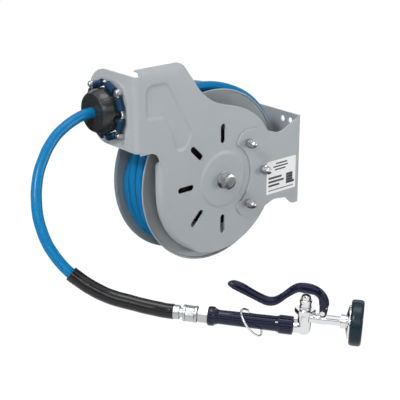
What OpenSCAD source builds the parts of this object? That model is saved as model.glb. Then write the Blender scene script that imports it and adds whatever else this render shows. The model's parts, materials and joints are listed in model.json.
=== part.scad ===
// Open wall reel for a wash-down water hose: spring rewind, swing-free side arm with
// roller guide, split bumper ball and a lever spray valve on the hose's free end.
//
// Units are millimetres. The wall is the plane Y=0 and the reel stands out toward -Y.
// X runs along the axle, with the side arm on +X, and Z is up. The origin is the
// middle of the wall plate's bolt holes, on the plate's back face.

/* [Node] */
// Which node to build, or all of them

/* [Reel] */
// Outer diameter of the two flanges
flange_d = 300; // [280:1:304]
// Height of the axle above the middle of the wall plate
axle_z = 0; // [-6:1:6]
// Distance of the axle from the wall
axle_reach = 181; // [178:1:190]
// Outer diameter of the hose
hose_d = 17; // [15:0.5:17.5]
// Gap between neighbouring strands of hose on the drum
strand_gap = 0.6; // [0.5:0.1:1.2]
// Radius of the drum that the hose winds on
drum_r = 86; // [84:1:88]
// Diameter of the axle where the hub turns on it
axle_d = 20; // [18:1:22]

/* [Frame] */
// Thickness of the frame's sheet steel
sheet = 3; // [2:0.5:4]
// Outer width of the wall bracket, cheek to cheek
bracket_w = 144; // [142:1:150]
// Half height of the wall plate
plate_half = 80; // [78:1:84]
// Distance of the guide's tab from the wall
tab_reach = 361; // [352:1:368]
// Height of the hose guide's centre above the axle
guide_z = 139.5; // [136:0.5:142]
// Diameter of a wall bolt's hole
wall_hole_d = 11; // [9:0.5:12]
// Vertical distance between the rows of wall holes
wall_rows = 132; // [120:1:136]
// Distance across the outer columns of wall holes
wall_outer = 94; // [90:1:98]
// Distance across the inner columns of wall holes
wall_inner = 56; // [50:1:62]

/* [Guide] */
// Distance of each roller's axis from the guide's centre
guide_apothem = 43; // [42:0.5:45]
// Diameter of the guide's bent wire
wire_d = 4; // [3.5:0.1:4.5]
// Outer diameter of a roller
roller_d = 12; // [11:0.5:12.5]
// Length of a roller
roller_length = 22; // [18:1:23]
// Diameter of the bumper ball
ball_d = 74; // [70:1:76]

/* [Spray valve] */
// Outer diameter of the spray head's rubber ring
head_d = 68; // [62:1:70]
// Length of the handle's grip between its two collars
grip_length = 94; // [92:1:100]
// How far the lever swings down, in degrees
lever_swing = 9; // [6:1:9]

/* [Hidden] */

round_sides = 96;       // any count over 12 is a true circle in the STEP
small_round = 32;
running_fit = 0.06;     // radial play of a part that turns on a pin or shaft
screw_play = 0.2;       // radial play of a bolt in a clearance hole
body_gap = 0.3;         // least gap between parts that move past each other
head_h = 2.6;           // height of a small pan head
strands = 4;            // turns of hose side by side in one layer

// Stations along X, from the rear cheek to the front
cheek_x = bracket_w / 2;                // outer face of the front cheek
arm_x = cheek_x - sheet;                // outer face of the side arm
arm_inner_x = arm_x - sheet;
pitch = hose_d + strand_gap;
drum_w = strands * pitch;
drum_mid_x = 2.2;
far_x = drum_mid_x - drum_w / 2;        // inner face of the far flange
near_x = drum_mid_x + drum_w / 2;       // inner face of the near flange
flange_t = 1.5;
flange_lip = 4;
flange_r = flange_d / 2;
case_x = near_x + flange_t;             // back of the spring case
case_r = 80;
case_t = 1.5;
case_end_x = case_x + 19.1;
ratchet_x = case_end_x + case_t;
ratchet_t = 4;
ratchet_r = 45;
ratchet_hole_r = 30;
teeth = 12;
ratchet_phase = 4.6;    // brings a notch under the pawl's tip at rest

axle_r = axle_d / 2;
arbor_r = 9;            // axle radius under the arbor
thread_r = 8;           // axle radius at its front thread
axle_nut_af = 24;
axle_nut_h = 7.5;
washer_t = 2;
inlet_r = 12;           // axle radius at its rear inlet
inlet_bore_r = 7.5;
inlet_depth = 14;
water_r = 4.5;          // radius of the water way
inlet_x = -cheek_x - 32;
port_x = -3;
nut_end_x = arm_x + 20.5;

hub_r = 18;
hub_bore_r = 13;
hub_flange_r = 34;
hub_bolt_r = 27;
bushing_length = 12;
outlet_r = 6.5;         // outer radius of the pipe from the hub to the hose

// The side arm's outline, in Y and Z
disc_y = -axle_reach - 6;
disc_r = 127.5;
neck_r = 105;           // radius of the arm's hollow neck
neck_end_angle = 74;    // where the neck meets the disc
lip_top_y = -270;       // where the lip along the top ends
arm_top = 212;
arm_bottom = 76;
bend_r = 8;             // outer radius of the frame's bends
boss_r = 47.7;
press_depth = 2;        // depth of the pressed boss and panel
slot_in = 63.5;
slot_out = 97.5;
slot_w = 10.5;
slot_angles = [90, 135, 180, 225, 270];
lip_depth = 14;
lip_arc_end = 235;

// The three bolts that hold the side arm to the bracket's front cheek
bolt_r = 4;
lobe_r = 23;
cheek_clear_r = 62.5;
cheek_bolts = [[54.5, 54.5], [89.6, 0], [54.5, -54.5]];    // from the axle
bolt_head_r = 7;
bolt_head_h = 3.5;
cheek_nut_h = 6.5;
cheek_nut_af = 13;
cap_r = 8;
cap_h = 14;

// The pawl turns below the front cheek, clear of the spring cover
pawl_angle = 24;        // direction of its pin from the axle
pawl_pin_r = 3;
pawl_pivot_r = 66;
pawl_x = ratchet_x + 0.5;
pawl_t = 3.2;

// The hose guide on the tab
guide_x = -2;
tab_y = -tab_reach;
inner_corner_r = min(20, disc_y - disc_r - tab_y - bend_r - 1);   // where disc and neck meet
tab_x0 = -56.5;
tab_below = 59.5;                                // how far the tab runs past the guide
tab_above = 63;
tab_z0 = guide_z - tab_below;
tab_z1 = guide_z + tab_above;
pad_t = 1;
pad_half = 53;
guide_hole_r = 40;
ring_y = tab_y - pad_t - roller_d / 2 - 0.5;
clip_screw = [36.5, 35.5];
clip_front_y = ring_y - 3.4;
guide_screw_r = 2;
ball_r = ball_d / 2;
ball_y = ring_y - sqrt(pow(ball_r + roller_d / 2 + body_gap, 2) - pow(guide_apothem, 2));
ball_face_y = ball_y - 20.5;
ball_split = 0.4;

// The wound hose: one layer shows, over a plain core of inner layers
winding_r = drum_r + 2.5 * pitch;                // centreline of the outer layer
core_r = winding_r - hose_d / 2 - 0.3;
last_turn_gap = 1.4;                             // keeps it off the turning strands
top_r = winding_r + pitch + last_turn_gap;       // centreline of the last part turn
last_turn_rings = 20;
loop_rings = 24;
winding_sides = 6;
step_start = 5;          // degrees above the wall side where a strand steps over
last_turn_start = -20;   // where the wound hose ends under the last part turn
shift_start = 50;        // where the last part turn heads for the guide
dive_turn = 45;
lead_x = 8;
ball_back_y = ball_y + 36;
to_guide = [ball_back_y + axle_reach, guide_z - axle_z];
lead_angle = atan2(to_guide[1], to_guide[0]) - acos(top_r / norm(to_guide));

// The free hose hangs from the ball and runs along to the spray valve
free_points = [
    [-2, -401, 139.4], [-2, -411, 138.4], [-1, -424, 135.5], [1, -439, 131], [3, -453, 125], [5, -466, 118],
    [8, -478, 109], [12, -489, 100], [16, -498, 90], [20, -507, 79], [24, -514, 68],
    [29, -520, 56.5], [34, -525, 45], [40, -529, 33], [45.5, -532, 20.5],
    [52, -534, 8], [58, -534, -4], [65, -534, -15], [72, -532, -27], [80, -529, -38],
    [87, -525, -48], [95, -520, -58], [103, -514, -67], [112, -506, -76],
    [122, -498.5, -84], [132, -489, -92], [142, -479, -99], [154, -467, -105],
    [167, -453, -110], [181, -439, -115], [195, -425, -119], [206, -415.4, -121.2]
];
free_sides = 10;
sleeve_start = 22;      // the free hose's point where its sleeve starts
sleeve_r = 11.5;

// The spray valve, in its own frame: s runs back from the spray head, h is up
valve_head = [425.1, -232.5, -117.2];
valve_tilt = 2.5;
valve_heading = 39.85;
axis_h = -16.5;         // height of the handle's axis below the spray's
barrel_s = 76;
barrel_r = 10;
seat_h = 7.2;           // where the bonnet sits on the valve's barrel
grip_s = 114;
grip_end_s = grip_s + grip_length;
collar_s = grip_end_s + 11.5;
adapter_s = collar_s + 14.5;
nut_s = adapter_s + 2;
nut_length = 21;
ferrule_s = nut_s + nut_length + 6;
hose_end_s = ferrule_s + 9;
tube_r = 7;
tube_bore_r = 5;
hold_ring_s = 154;      // the ring that holds the lever down hangs on the grip
hold_ring_r = 23.5;
hold_ring_wire_r = 1.6;
hold_ring_drop = 2.6;
hold_ring_tilt = 47;
pin_s = 50.4;
pin_h = 12.5;
pin_r = 2.5;
fork_w = 6.6;
lever_w = 15;
stem_r = 3;
stem_cap_r = 7;
stem_cap_h = 29.3;
stem_travel = (barrel_s - pin_s) * tan(lever_swing) + body_gap;
stem_pocket_h = stem_cap_h - stem_travel - 3;   // floor of the cap's pocket
lever_sides = 12;
// Stations of the lever: s, h of its middle, then its thickness
lever_stations = [
    [49.6, 7.9, 11.6], [49.4, 13, 13.2], [49.2, 21, 14.6], [50, 29.5, 14.8],
    [54, 37.5, 13.6], [61, 43.2, 13.6], [70, 46, 15], [80, 46.6, 15.4],
    [89, 45.8, 13.6], [97.6, 40.3, 12], [105.6, 33.2, 10.4], [113, 26.4, 10.8],
    [119.6, 21.4, 12.2], [126.5, 19.2, 13.4], [135, 19.6, 13.6], [150, 25.4, 13],
    [163, 31.4, 14], [174, 36.2, 15], [184, 39.6, 12.6], [190.5, 40.4, 6], [192.5, 40.5, 2]
];

// ---------- helper functions ----------

function unit(v) = v / norm(v);
function ease(u) = u * u * (3 - 2 * u);
function polar(r, a) = [r * cos(a), r * sin(a)];

// One rounded corner at p between the points a and b
function corner(a, p, b, r, steps) =
    r <= 0 ? [p] :
    let (u = unit(a - p), v = unit(b - p), half = acos(u * v) / 2,
         c = p + unit(u + v) * r / sin(half),
         s = p + u * r / tan(half) - c, e = p + v * r / tan(half) - c,
         from = atan2(s[1], s[0]), raw = atan2(e[1], e[0]) - from,
         turn = raw > 180 ? raw - 360 : raw < -180 ? raw + 360 : raw)
    [for (i = [0:steps]) c + polar(r, from + turn * i / steps)];

// An outline from points that each hold x, y and the corner's radius
function rounded(points, steps = 6) =
    let (n = len(points), xy = [for (p = points) [p[0], p[1]]])
    [for (i = [0:n - 1])
        each corner(xy[(i + n - 1) % n], xy[i], xy[(i + 1) % n], points[i][2], steps)];

function arc(centre, r, from, to, steps) =
    [for (i = [0:steps]) centre + polar(r, from + (to - from) * i / steps)];

// Catmull-Rom curve through a list of points, each span cut into equal steps
function smooth(points, steps) =
    let (last = len(points) - 1)
    [for (i = [0:last - 1]) for (k = [0:steps - 1])
        let (u = k / steps, a = points[max(i - 1, 0)], b = points[i],
             c = points[i + 1], d = points[min(i + 2, last)])
        b + 0.5 * u * (c - a + u * (2 * a - 5 * b + 4 * c - d + u * (3 * (b - c) + d - a))),
     points[last]];

function tangent(path, i) =
    unit(path[min(i + 1, len(path) - 1)] - path[max(i - 1, 0)]);

// One ring of a tube around a path's point, square to its direction
function ring(p, t, r, sides) =
    let (side = unit(cross(t, [1, 0, 0])), up = cross(side, t))
    [for (j = [0:sides - 1]) p + polar(r, 360 * j / sides)[0] * side
        + polar(r, 360 * j / sides)[1] * up];

// Triangles between ring a and ring b, and over a ring's end
function band(a, b, sides) =
    [for (j = [0:sides - 1]) let (k = (j + 1) % sides)
        each [[a + j, a + k, b + k], [a + j, b + k, b + j]]];
function cap_fan(a, sides) = [for (j = [1:sides - 2]) [a, a + j + 1, a + j]];
function flip(faces) = [for (f = faces) [f[2], f[1], f[0]]];

// ---------- helper modules ----------

module tube(path, r, sides) {
    n = len(path);
    polyhedron(
        points = [for (i = [0:n - 1]) each ring(path[i], tangent(path, i), r, sides)],
        faces = concat(
            [for (i = [0:n - 2]) each band(i * sides, (i + 1) * sides, sides)],
            cap_fan(0, sides), flip(cap_fan((n - 1) * sides, sides))));
}

// A pipe along a path: the outer skin, the inner skin and the two end faces
module pipe(path, outer_r, inner_r, sides) {
    n = len(path);
    inner = n * sides;
    polyhedron(
        points = [for (r = [outer_r, inner_r]) for (i = [0:n - 1])
            each ring(path[i], tangent(path, i), r, sides)],
        faces = concat(
            [for (i = [0:n - 2]) each band(i * sides, (i + 1) * sides, sides)],
            [for (i = [0:n - 2])
                each flip(band(inner + i * sides, inner + (i + 1) * sides, sides))],
            flip(band(0, inner, sides)),
            band((n - 1) * sides, inner + (n - 1) * sides, sides)));
}

module on_axle() { translate([0, -axle_reach, axle_z]) children(); }

module at_guide() { translate([guide_x, 0, guide_z]) children(); }

// A round bar along X
module x_bar(from, to, r, sides = small_round) {
    translate([from, 0, 0]) rotate([0, 90, 0]) cylinder(h = to - from, r = r, $fn = sides);
}

// A round bar along Y
module y_bar(from, to, r, sides = small_round) {
    translate([0, to, 0]) rotate([90, 0, 0]) cylinder(h = to - from, r = r, $fn = sides);
}

// A hexagon bar along X, from its width across flats
module x_hex(from, to, across) {
    translate([from, 0, 0]) rotate([0, 90, 0]) cylinder(h = to - from, d = across / cos(30), $fn = 6);
}

// A body turned about X, from points of x and radius
module x_turned(profile) {
    rotate([0, 90, 0])
        rotate_extrude($fn = round_sides) polygon([for (p = profile) [p[1], p[0]]]);
}

// A flat piece across X, whose outline is in Y and Z
module x_sheet(from, to) {
    translate([from, 0, 0]) rotate([90, 0, 90]) linear_extrude(to - from) children();
}

// A flat piece across Y, whose outline is in X and Z
module y_sheet(from, to) {
    translate([0, to, 0]) rotate([90, 0, 0]) linear_extrude(to - from) children();
}

// ---------- wall bracket ----------

// The front cheek's upper and lower edge, from the wall to the bolt lobes
cheek_top_edge = [
    [0, plate_half + 1, 0], [-14, plate_half - 5, 30], [-50, plate_half - 22.5, 30],
    [-84, plate_half - 12, 20], [-104, plate_half - 2, 20]
];
cheek_low_edge = [
    [0, -plate_half - 1, 0], [-18, -plate_half - 0.5, 8], [-33, 14 - plate_half, 12],
    [-62, 18 - plate_half, 25], [-86, 10 - plate_half, 20], [-104, 2 - plate_half, 20]
];

module cheek_outline() {
    axle = [-axle_reach, axle_z];
    top = axle + cheek_bolts[0];
    low = axle + cheek_bolts[2];
    difference() {
        union() {
            polygon(rounded(concat(
                cheek_top_edge,
                [[top[0], top[1] + lobe_r, 0], [top[0], top[1], 0], [low[0], low[1], 0],
                 [low[0], low[1] - lobe_r, 0]],
                [for (i = [5:-1:0]) cheek_low_edge[i]])));
            for (p = [top, low]) translate(p) circle(r = lobe_r, $fn = round_sides);
        }
        translate(axle) circle(r = cheek_clear_r, $fn = round_sides);
    }
}

module rear_cheek_outline() {
    polygon(rounded(concat(
        [for (i = [0:2]) cheek_top_edge[i]],
        [[-axle_reach + 4, axle_z + 34, 0]],
        [for (a = [110:20:250]) let (p = [-axle_reach, axle_z] + polar(34, a)) [p[0], p[1], 0]],
        [[-axle_reach + 4, axle_z - 34, 0]],
        [for (i = [2:-1:0]) let (p = cheek_top_edge[i]) [p[0], -p[1], p[2]]])));
}

// The bracket's section: wall plate and two cheeks, with round bends
module bracket_section(reach) {
    inner = cheek_x - sheet;
    polygon(rounded([
        [-cheek_x, -reach, 0], [-cheek_x, 0, sheet + 2], [cheek_x, 0, sheet + 2],
        [cheek_x, -reach, 0], [inner, -reach, 0], [inner, -sheet, 2],
        [-inner, -sheet, 2], [-inner, -reach, 0]]));
}

module mounting_bracket() {
    color([0.64, 0.66, 0.67]) difference() {
        intersection() {
            translate([0, 0, -plate_half - 2])
                linear_extrude(2 * plate_half + 4) bracket_section(axle_reach + 40);
            union() {
                x_sheet(cheek_x - sheet - 1, cheek_x + 1) cheek_outline();
                x_sheet(-cheek_x - 1, -cheek_x + sheet + 1) rear_cheek_outline();
                translate([-cheek_x - 1, -sheet - 3, -plate_half])
                    cube([bracket_w + 2, sheet + 4, 2 * plate_half]);
            }
        }
        for (x = [-wall_outer, -wall_inner, wall_inner, wall_outer] / 2)
            for (z = [-1, 1] * wall_rows / 2)
                translate([x, 0, z]) y_bar(-sheet - 1, 1, wall_hole_d / 2);
        on_axle() {
            for (p = cheek_bolts)
                translate([0, p[0], p[1]]) x_bar(arm_x - 1, cheek_x + 1, bolt_r + screw_play);
            x_bar(-cheek_x - 1, -arm_x + 1, inlet_r + screw_play, round_sides);
        }
    }
}

// ---------- side arm ----------

module arm_outline() {
    edge_y = disc_y - disc_r;
    union() {
        translate([disc_y, axle_z]) circle(r = disc_r, $fn = round_sides);
        polygon(rounded([
            [tab_y + bend_r, arm_top, 0], [disc_y - 77.6, arm_top, 14],
            [disc_y - 31.7, arm_top - 70.2, neck_r],
            [disc_y + polar(disc_r, neck_end_angle)[0],
             axle_z + polar(disc_r, neck_end_angle)[1], 0],
            [disc_y, axle_z, 0], [edge_y, axle_z, 0],
            [edge_y, arm_bottom, inner_corner_r], [tab_y + bend_r, arm_bottom, 0]]));
    }
}

// The pressed panel that stiffens the arm, in Y and Z
// Its corners from the tab and the arm's top edge: y, z, radius, and which way each grows
panel_corners = [
    [21, -79, 8, -1, -1], [21, -27, 12, -1, 1], [62, -27, 12, 1, 1], [112, -116, 10, 1, 0],
    [103, -142, 14, 1, -1], [81, -141, 10, -1, -1], [71, -108, 10, -1, -1],
    [55, -82, 14, -1, -1]];
function panel_outline(grow) = rounded([for (p = panel_corners)
    [tab_y + p[0] + p[3] * grow, arm_top + p[1] + p[4] * grow, p[2]]]);

// A rolled lip along an edge: bend and flange, as x and distance in from the edge
function lip_section() = concat(
    arc([arm_x - bend_r, bend_r], bend_r, 0, -90, 6),
    [[arm_x - lip_depth, 0], [arm_x - lip_depth, sheet]],
    arc([arm_x - bend_r, bend_r], bend_r - sheet, -90, 0, 6));

// The side arm's tab: bent across the front of the reel to carry the guide
module arm_tab() {
    y_sheet(tab_y, tab_y + sheet) polygon(rounded([
        [arm_x - bend_r, tab_z0, 0], [arm_x - bend_r, tab_z1, 0],
        [tab_x0, tab_z1, 45], [tab_x0, tab_z0, 45]], 8));
    translate([0, 0, tab_z0]) linear_extrude(tab_z1 - tab_z0)
        translate([arm_x - bend_r, tab_y + bend_r]) polygon(concat(
            arc([0, 0], bend_r, -90, 0, 6), arc([0, 0], bend_r - sheet, 0, -90, 6)));
    y_sheet(tab_y - pad_t, tab_y + sheet / 2) translate([guide_x, guide_z])
        polygon(rounded([for (p = [[-1, -1], [1, -1], [1, 1], [-1, 1]])
            [p[0] * pad_half, p[1] * pad_half, 36]], 8));
}

module side_arm() {
    edge_y = disc_y - disc_r;
    lip_top = arm_bottom - inner_corner_r;
    color([0.64, 0.66, 0.67]) difference() {
        union() {
            difference() {
                x_sheet(arm_inner_x, arm_x) arm_outline();
                // room for the rolled lips
                translate([arm_inner_x - 1, tab_y, arm_top - bend_r])
                    cube([sheet + 2, lip_top_y - tab_y, bend_r + 1]);
                translate([arm_inner_x - 1, edge_y - 1, axle_z])
                    cube([sheet + 2, bend_r + 1, lip_top - axle_z]);
                translate([arm_inner_x - 1, disc_y, axle_z]) rotate([90, 0, 90])
                    rotate([0, 0, 180]) rotate_extrude(angle = lip_arc_end - 180, $fn = round_sides)
                        translate([disc_r - bend_r, 0]) square([bend_r + 1, sheet + 2]);
            }
            // lip along the top
            translate([0, lip_top_y, arm_top]) rotate([90, 0, 0])
                linear_extrude(lip_top_y - tab_y - bend_r)
                    polygon([for (p = lip_section()) [p[0], -p[1]]]);
            // lip down the free edge
            translate([0, edge_y, axle_z]) linear_extrude(lip_top - axle_z)
                polygon(lip_section());
            // lip around the disc
            translate([0, disc_y, axle_z]) rotate([90, 0, 90]) rotate([0, 0, 180])
                rotate_extrude(angle = lip_arc_end - 180, $fn = round_sides)
                    polygon([for (p = lip_section()) [disc_r - p[1], p[0]]]);
            on_axle() x_bar(arm_x - 0.5, arm_x + press_depth, boss_r, round_sides);
            x_sheet(arm_inner_x - press_depth, arm_x - 1) polygon(panel_outline(2));
            arm_tab();
        }
        x_sheet(arm_x - press_depth, arm_x + 1) polygon(panel_outline(0));
        on_axle() {
            x_bar(arm_inner_x - 1, arm_inner_x + press_depth, boss_r - 2, round_sides);
            x_bar(arm_inner_x - 1, cheek_x + 1, thread_r + screw_play);
            for (a = slot_angles) rotate([a, 0, 0])
                for (r = [slot_in + slot_w / 2, slot_out - slot_w / 2])
                    translate([0, r, 0]) x_bar(arm_inner_x - 1, arm_x + 1, slot_w / 2);
            for (a = slot_angles) rotate([a, 0, 0])
                translate([arm_inner_x - 1, slot_in + slot_w / 2, -slot_w / 2])
                    cube([sheet + 2, slot_out - slot_in - slot_w, slot_w]);
            for (p = cheek_bolts)
                translate([0, p[0], p[1]]) x_bar(arm_inner_x - 1, arm_x + 1, bolt_r + screw_play);
            rotate([pawl_angle, 0, 0]) translate([0, pawl_pivot_r, 0])
                x_bar(arm_inner_x - 1, arm_x + 1, pawl_pin_r);
        }
        at_guide() {
            y_bar(tab_y - pad_t - 1, tab_y + sheet + 1, guide_hole_r, round_sides);
            for (x = [-1, 1] * clip_screw[0]) for (z = [-1, 1] * clip_screw[1])
                translate([x, 0, z]) y_bar(tab_y - pad_t - 1, tab_y + sheet + 1, guide_screw_r);
        }
    }
}

module bracket_bolts() {
    color([0.75, 0.76, 0.78]) on_axle() for (p = cheek_bolts) translate([0, p[0], p[1]]) {
        x_bar(arm_inner_x - bolt_head_h, arm_inner_x, bolt_head_r);
        x_bar(arm_inner_x - 1, cheek_x + cheek_nut_h + cap_h - 5, bolt_r);
    }
}

module bracket_nuts() {
    color([0.75, 0.76, 0.78]) on_axle() for (p = cheek_bolts) translate([0, p[0], p[1]])
        difference() {
            x_hex(cheek_x, cheek_x + cheek_nut_h, cheek_nut_af);
            x_bar(cheek_x - 1, cheek_x + cheek_nut_h + 1, bolt_r);
        }
}

module cap_nuts() {
    from = cheek_x + cheek_nut_h;
    color([0.7, 0.71, 0.72]) on_axle() for (p = cheek_bolts) translate([0, p[0], p[1]])
        x_turned(concat(
            [[from, bolt_r], [from, cap_r - 0.6], [from + 0.8, cap_r]],
            [for (a = [0:15:90]) [from + cap_h - cap_r / 2 + cap_r / 2 * sin(a), cap_r * cos(a)]],
            [[from + cap_h - 5, 0], [from + cap_h - 5, bolt_r]]));
}

// ---------- axle and its hardware ----------

module axle_shaft() {
    color([0.72, 0.72, 0.72]) on_axle() difference() {
        x_turned([
            [inlet_x, inlet_bore_r], [inlet_x, inlet_r - 1], [inlet_x + 1, inlet_r],
            [-arm_x, inlet_r], [-arm_x, inlet_r + 4], [-arm_x + 6, inlet_r + 4],
            [-arm_x + 6, axle_r], [case_x, axle_r], [case_x, arbor_r],
            [ratchet_x, arbor_r], [ratchet_x, thread_r], [nut_end_x - 1, thread_r],
            [nut_end_x, thread_r - 1], [nut_end_x, 0], [port_x + 8, 0],
            [port_x + 8, water_r], [inlet_x + inlet_depth + 2, water_r],
            [inlet_x + inlet_depth, inlet_bore_r]]);
        translate([port_x, 0, -axle_r - 1]) cylinder(h = axle_d + 2, r = 3.5, $fn = small_round);
        translate([case_x + 6, 0, -axle_r - 1]) cylinder(h = axle_d + 2, r = 2, $fn = small_round);
    }
}

module axle_washers() {
    color([0.75, 0.76, 0.78]) on_axle() {
        difference() {
            x_bar(arm_x + press_depth, arm_x + press_depth + washer_t, 15, round_sides);
            x_bar(arm_x, cheek_x + 9, thread_r + screw_play);
        }
        difference() {
            x_bar(-cheek_x - 2, -cheek_x, 20, round_sides);
            x_bar(-cheek_x - 3, -cheek_x + 1, inlet_r + screw_play);
        }
    }
}

module axle_jam_nut() {
    from = arm_x + press_depth + washer_t;
    color([0.75, 0.76, 0.78]) on_axle() difference() {
        x_hex(from, from + axle_nut_h, axle_nut_af);
        x_bar(from - 1, from + axle_nut_h + 1, thread_r);
    }
}

module axle_end_nut() {
    from = arm_x + press_depth + washer_t + axle_nut_h;
    color([0.75, 0.76, 0.78]) on_axle() difference() {
        rotate([12, 0, 0]) x_hex(from, nut_end_x - 1, axle_nut_af);
        x_bar(from - 1, nut_end_x + 1, thread_r);
    }
}

module inlet_lock_nut() {
    color([0.75, 0.76, 0.78]) on_axle() difference() {
        x_hex(-cheek_x - 12, -cheek_x - 2, 36);
        x_bar(-cheek_x - 13, -cheek_x - 1, inlet_r, round_sides);
    }
}

module spring_arbor() {
    color([0.5, 0.51, 0.53]) on_axle() difference() {
        x_turned([
            [case_x + 1, arbor_r], [case_x + 1, 14], [case_end_x - 1, 14],
            [case_end_x - 1, 11.5], [arm_inner_x + press_depth, 11.5],
            [arm_inner_x + press_depth, thread_r], [ratchet_x, thread_r], [ratchet_x, arbor_r]]);
        translate([case_x + 6, 0, -16]) cylinder(h = 32, r = 2, $fn = small_round);
        translate([case_x + 4.2, 9, -1]) cube([case_end_x - case_x - 4.2, 6, 2]);
    }
}

module arbor_pin() {
    color([0.4, 0.4, 0.42]) on_axle()
        translate([case_x + 6, 0, -13.6]) cylinder(h = 27.2, r = 2, $fn = small_round);
}

// A flat spiral of spring steel, clear of the case that turns round it
spring_turns = 6;
spring_steps = 24;
spring_t = 1.2;
function spiral(r_in, r_out, turns, side) =
    [for (i = [0:turns * spring_steps])
        polar(r_in + (r_out - r_in) * i / (turns * spring_steps) + side, 360 * i / spring_steps)];

module main_spring() {
    outer = spiral(15.5, case_r - 3, spring_turns, spring_t / 2);
    inner = spiral(15.5, case_r - 3, spring_turns, -spring_t / 2);
    color([0.3, 0.32, 0.36]) on_axle() {
        x_sheet(case_x + 4.4, case_end_x - 1.4) polygon(concat(
            [[11, 0.6], [14.2, 0.6]], [for (i = [1:len(inner) - 1]) inner[i]],
            [for (i = [len(outer) - 1:-1:1]) outer[i]], [[16.1, -0.6], [11, -0.6]]));
    }
}

// ---------- pawl ----------

module pawl_outline() {
    polygon(rounded([
        [-7, -6, 6], [7, -6, 6], [8, 8, 6], [-24.6, 27, 0.8], [-27, 24.4, 0.8], [-9, 7, 6]]));
}

module pawl() {
    color([0.45, 0.46, 0.48]) on_axle() rotate([pawl_angle, 0, 0])
        translate([0, pawl_pivot_r, 0]) difference() {
            x_sheet(pawl_x, pawl_x + pawl_t) pawl_outline();
            x_bar(pawl_x - 1, pawl_x + pawl_t + 1, pawl_pin_r + running_fit);
        }
}

module pawl_pin() {
    color([0.6, 0.6, 0.62]) on_axle() rotate([pawl_angle, 0, 0])
        translate([0, pawl_pivot_r, 0]) {
            x_bar(pawl_x, arm_x, pawl_pin_r);
            x_bar(pawl_x + pawl_t + body_gap, arm_inner_x, 5);
        }
}

module pawl_spring() {
    color([0.3, 0.32, 0.36]) on_axle() rotate([pawl_angle, 0, 0])
        translate([0, pawl_pivot_r, 0]) {
            x_sheet(pawl_x + 0.4, arm_inner_x)
                polygon([[12, -18], [13.2, -18], [13.2, -10], [12, -10]]);
            x_sheet(pawl_x + 0.4, pawl_x + 3)
                polygon([[12, -12], [13.2, -12], [9.8, 9], [8.8, 9]]);
        }
}

// ---------- drum ----------

module swivel_hub() {
    color([0.78, 0.7, 0.45]) on_axle() difference() {
        x_turned([
            [far_x - 7, hub_bore_r], [far_x - 7, hub_r], [far_x - flange_t - 4, hub_r],
            [far_x - flange_t - 4, hub_flange_r], [far_x - flange_t, hub_flange_r],
            [far_x - flange_t, hub_r], [near_x - 4, hub_r], [near_x - 4, hub_flange_r],
            [near_x, hub_flange_r], [near_x, hub_bore_r],
            [near_x - bushing_length, hub_bore_r], [near_x - bushing_length, axle_r + 0.5],
            [port_x + 16, axle_r + 0.5], [port_x + 16, hub_bore_r], [port_x + 13, hub_bore_r],
            [port_x + 13, axle_r + 0.5], [port_x + 9, axle_r + 0.5], [port_x + 9, hub_bore_r],
            [port_x - 9, hub_bore_r], [port_x - 9, axle_r + 0.5], [port_x - 13, axle_r + 0.5],
            [port_x - 13, hub_bore_r], [port_x - 16, hub_bore_r], [port_x - 16, axle_r + 0.5],
            [far_x - 7 + bushing_length, axle_r + 0.5], [far_x - 7 + bushing_length, hub_bore_r]]);
        translate([port_x, 0, 0]) cylinder(h = hub_flange_r, r = outlet_r, $fn = small_round);
        for (a = [45:90:315]) rotate([a, 0, 0]) translate([0, hub_bolt_r, 0])
            for (x = [far_x - flange_t - 5, near_x - 5]) x_bar(x, x + 6, 2.5);
    }
}

module hub_bushings() {
    color([0.72, 0.55, 0.3]) on_axle() for (x = [far_x - 7, near_x - bushing_length])
        x_turned([[x, axle_r + running_fit], [x, hub_bore_r],
            [x + bushing_length, hub_bore_r], [x + bushing_length, axle_r + running_fit]]);
}

module hub_seals() {
    color([0.1, 0.1, 0.1]) on_axle() for (x = [port_x - 16, port_x + 13])
        x_turned([[x, axle_r + running_fit], [x, hub_bore_r],
            [x + 3, hub_bore_r], [x + 3, axle_r + running_fit]]);
}

// Pan heads outside each flange, shanks in the hub's two flanges
module hub_screws() {
    color([0.75, 0.76, 0.78]) on_axle() for (a = [45:90:315]) rotate([a, 0, 0])
        translate([0, hub_bolt_r, 0]) {
            x_bar(near_x - 4, near_x + flange_t + 1, 2.5);
            x_bar(near_x + flange_t, near_x + flange_t + 2.4, 4.5);
            x_bar(far_x - flange_t - 4, far_x + 1, 2.5);
            x_bar(far_x, far_x + 2.4, 4.5);
        }
}

module drum_core() {
    color([0.35, 0.4, 0.45]) on_axle() difference() {
        x_turned([[far_x, drum_r - 1.5], [far_x, drum_r], [near_x, drum_r], [near_x, drum_r - 1.5]]);
        translate([port_x, 0, drum_r - 6]) cylinder(h = 12, r = outlet_r + screw_play, $fn = small_round);
    }
}

// A flange: sheet disc whose rim is turned outward; outward is +1 or -1 along X
module flange(inner_x, outward, bore_r) {
    rim = inner_x + outward * flange_lip;
    back = inner_x + outward * flange_t;
    on_axle() x_turned([
        [inner_x, bore_r], [inner_x, flange_r - 3.4], [inner_x + outward * 1, flange_r - 1.4],
        [inner_x + outward * 2.4, flange_r], [rim, flange_r], [rim, flange_r - flange_t],
        [inner_x + outward * 2.8, flange_r - flange_t], [back, flange_r - 3.8], [back, bore_r]]);
}

module near_flange() {
    color([0.66, 0.68, 0.69]) difference() {
        flange(near_x, 1, hub_bore_r + 1);
        on_axle() {
            for (a = [45:90:315]) rotate([a, 0, 0]) translate([0, hub_bolt_r, 0])
                x_bar(near_x - 1, near_x + 3, 2.5 + screw_play);
            for (a = [0:60:300]) rotate([a, 0, 0]) translate([0, case_r - 20, 0])
                x_bar(near_x - 1, near_x + 3, 2.5);
        }
    }
}

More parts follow.
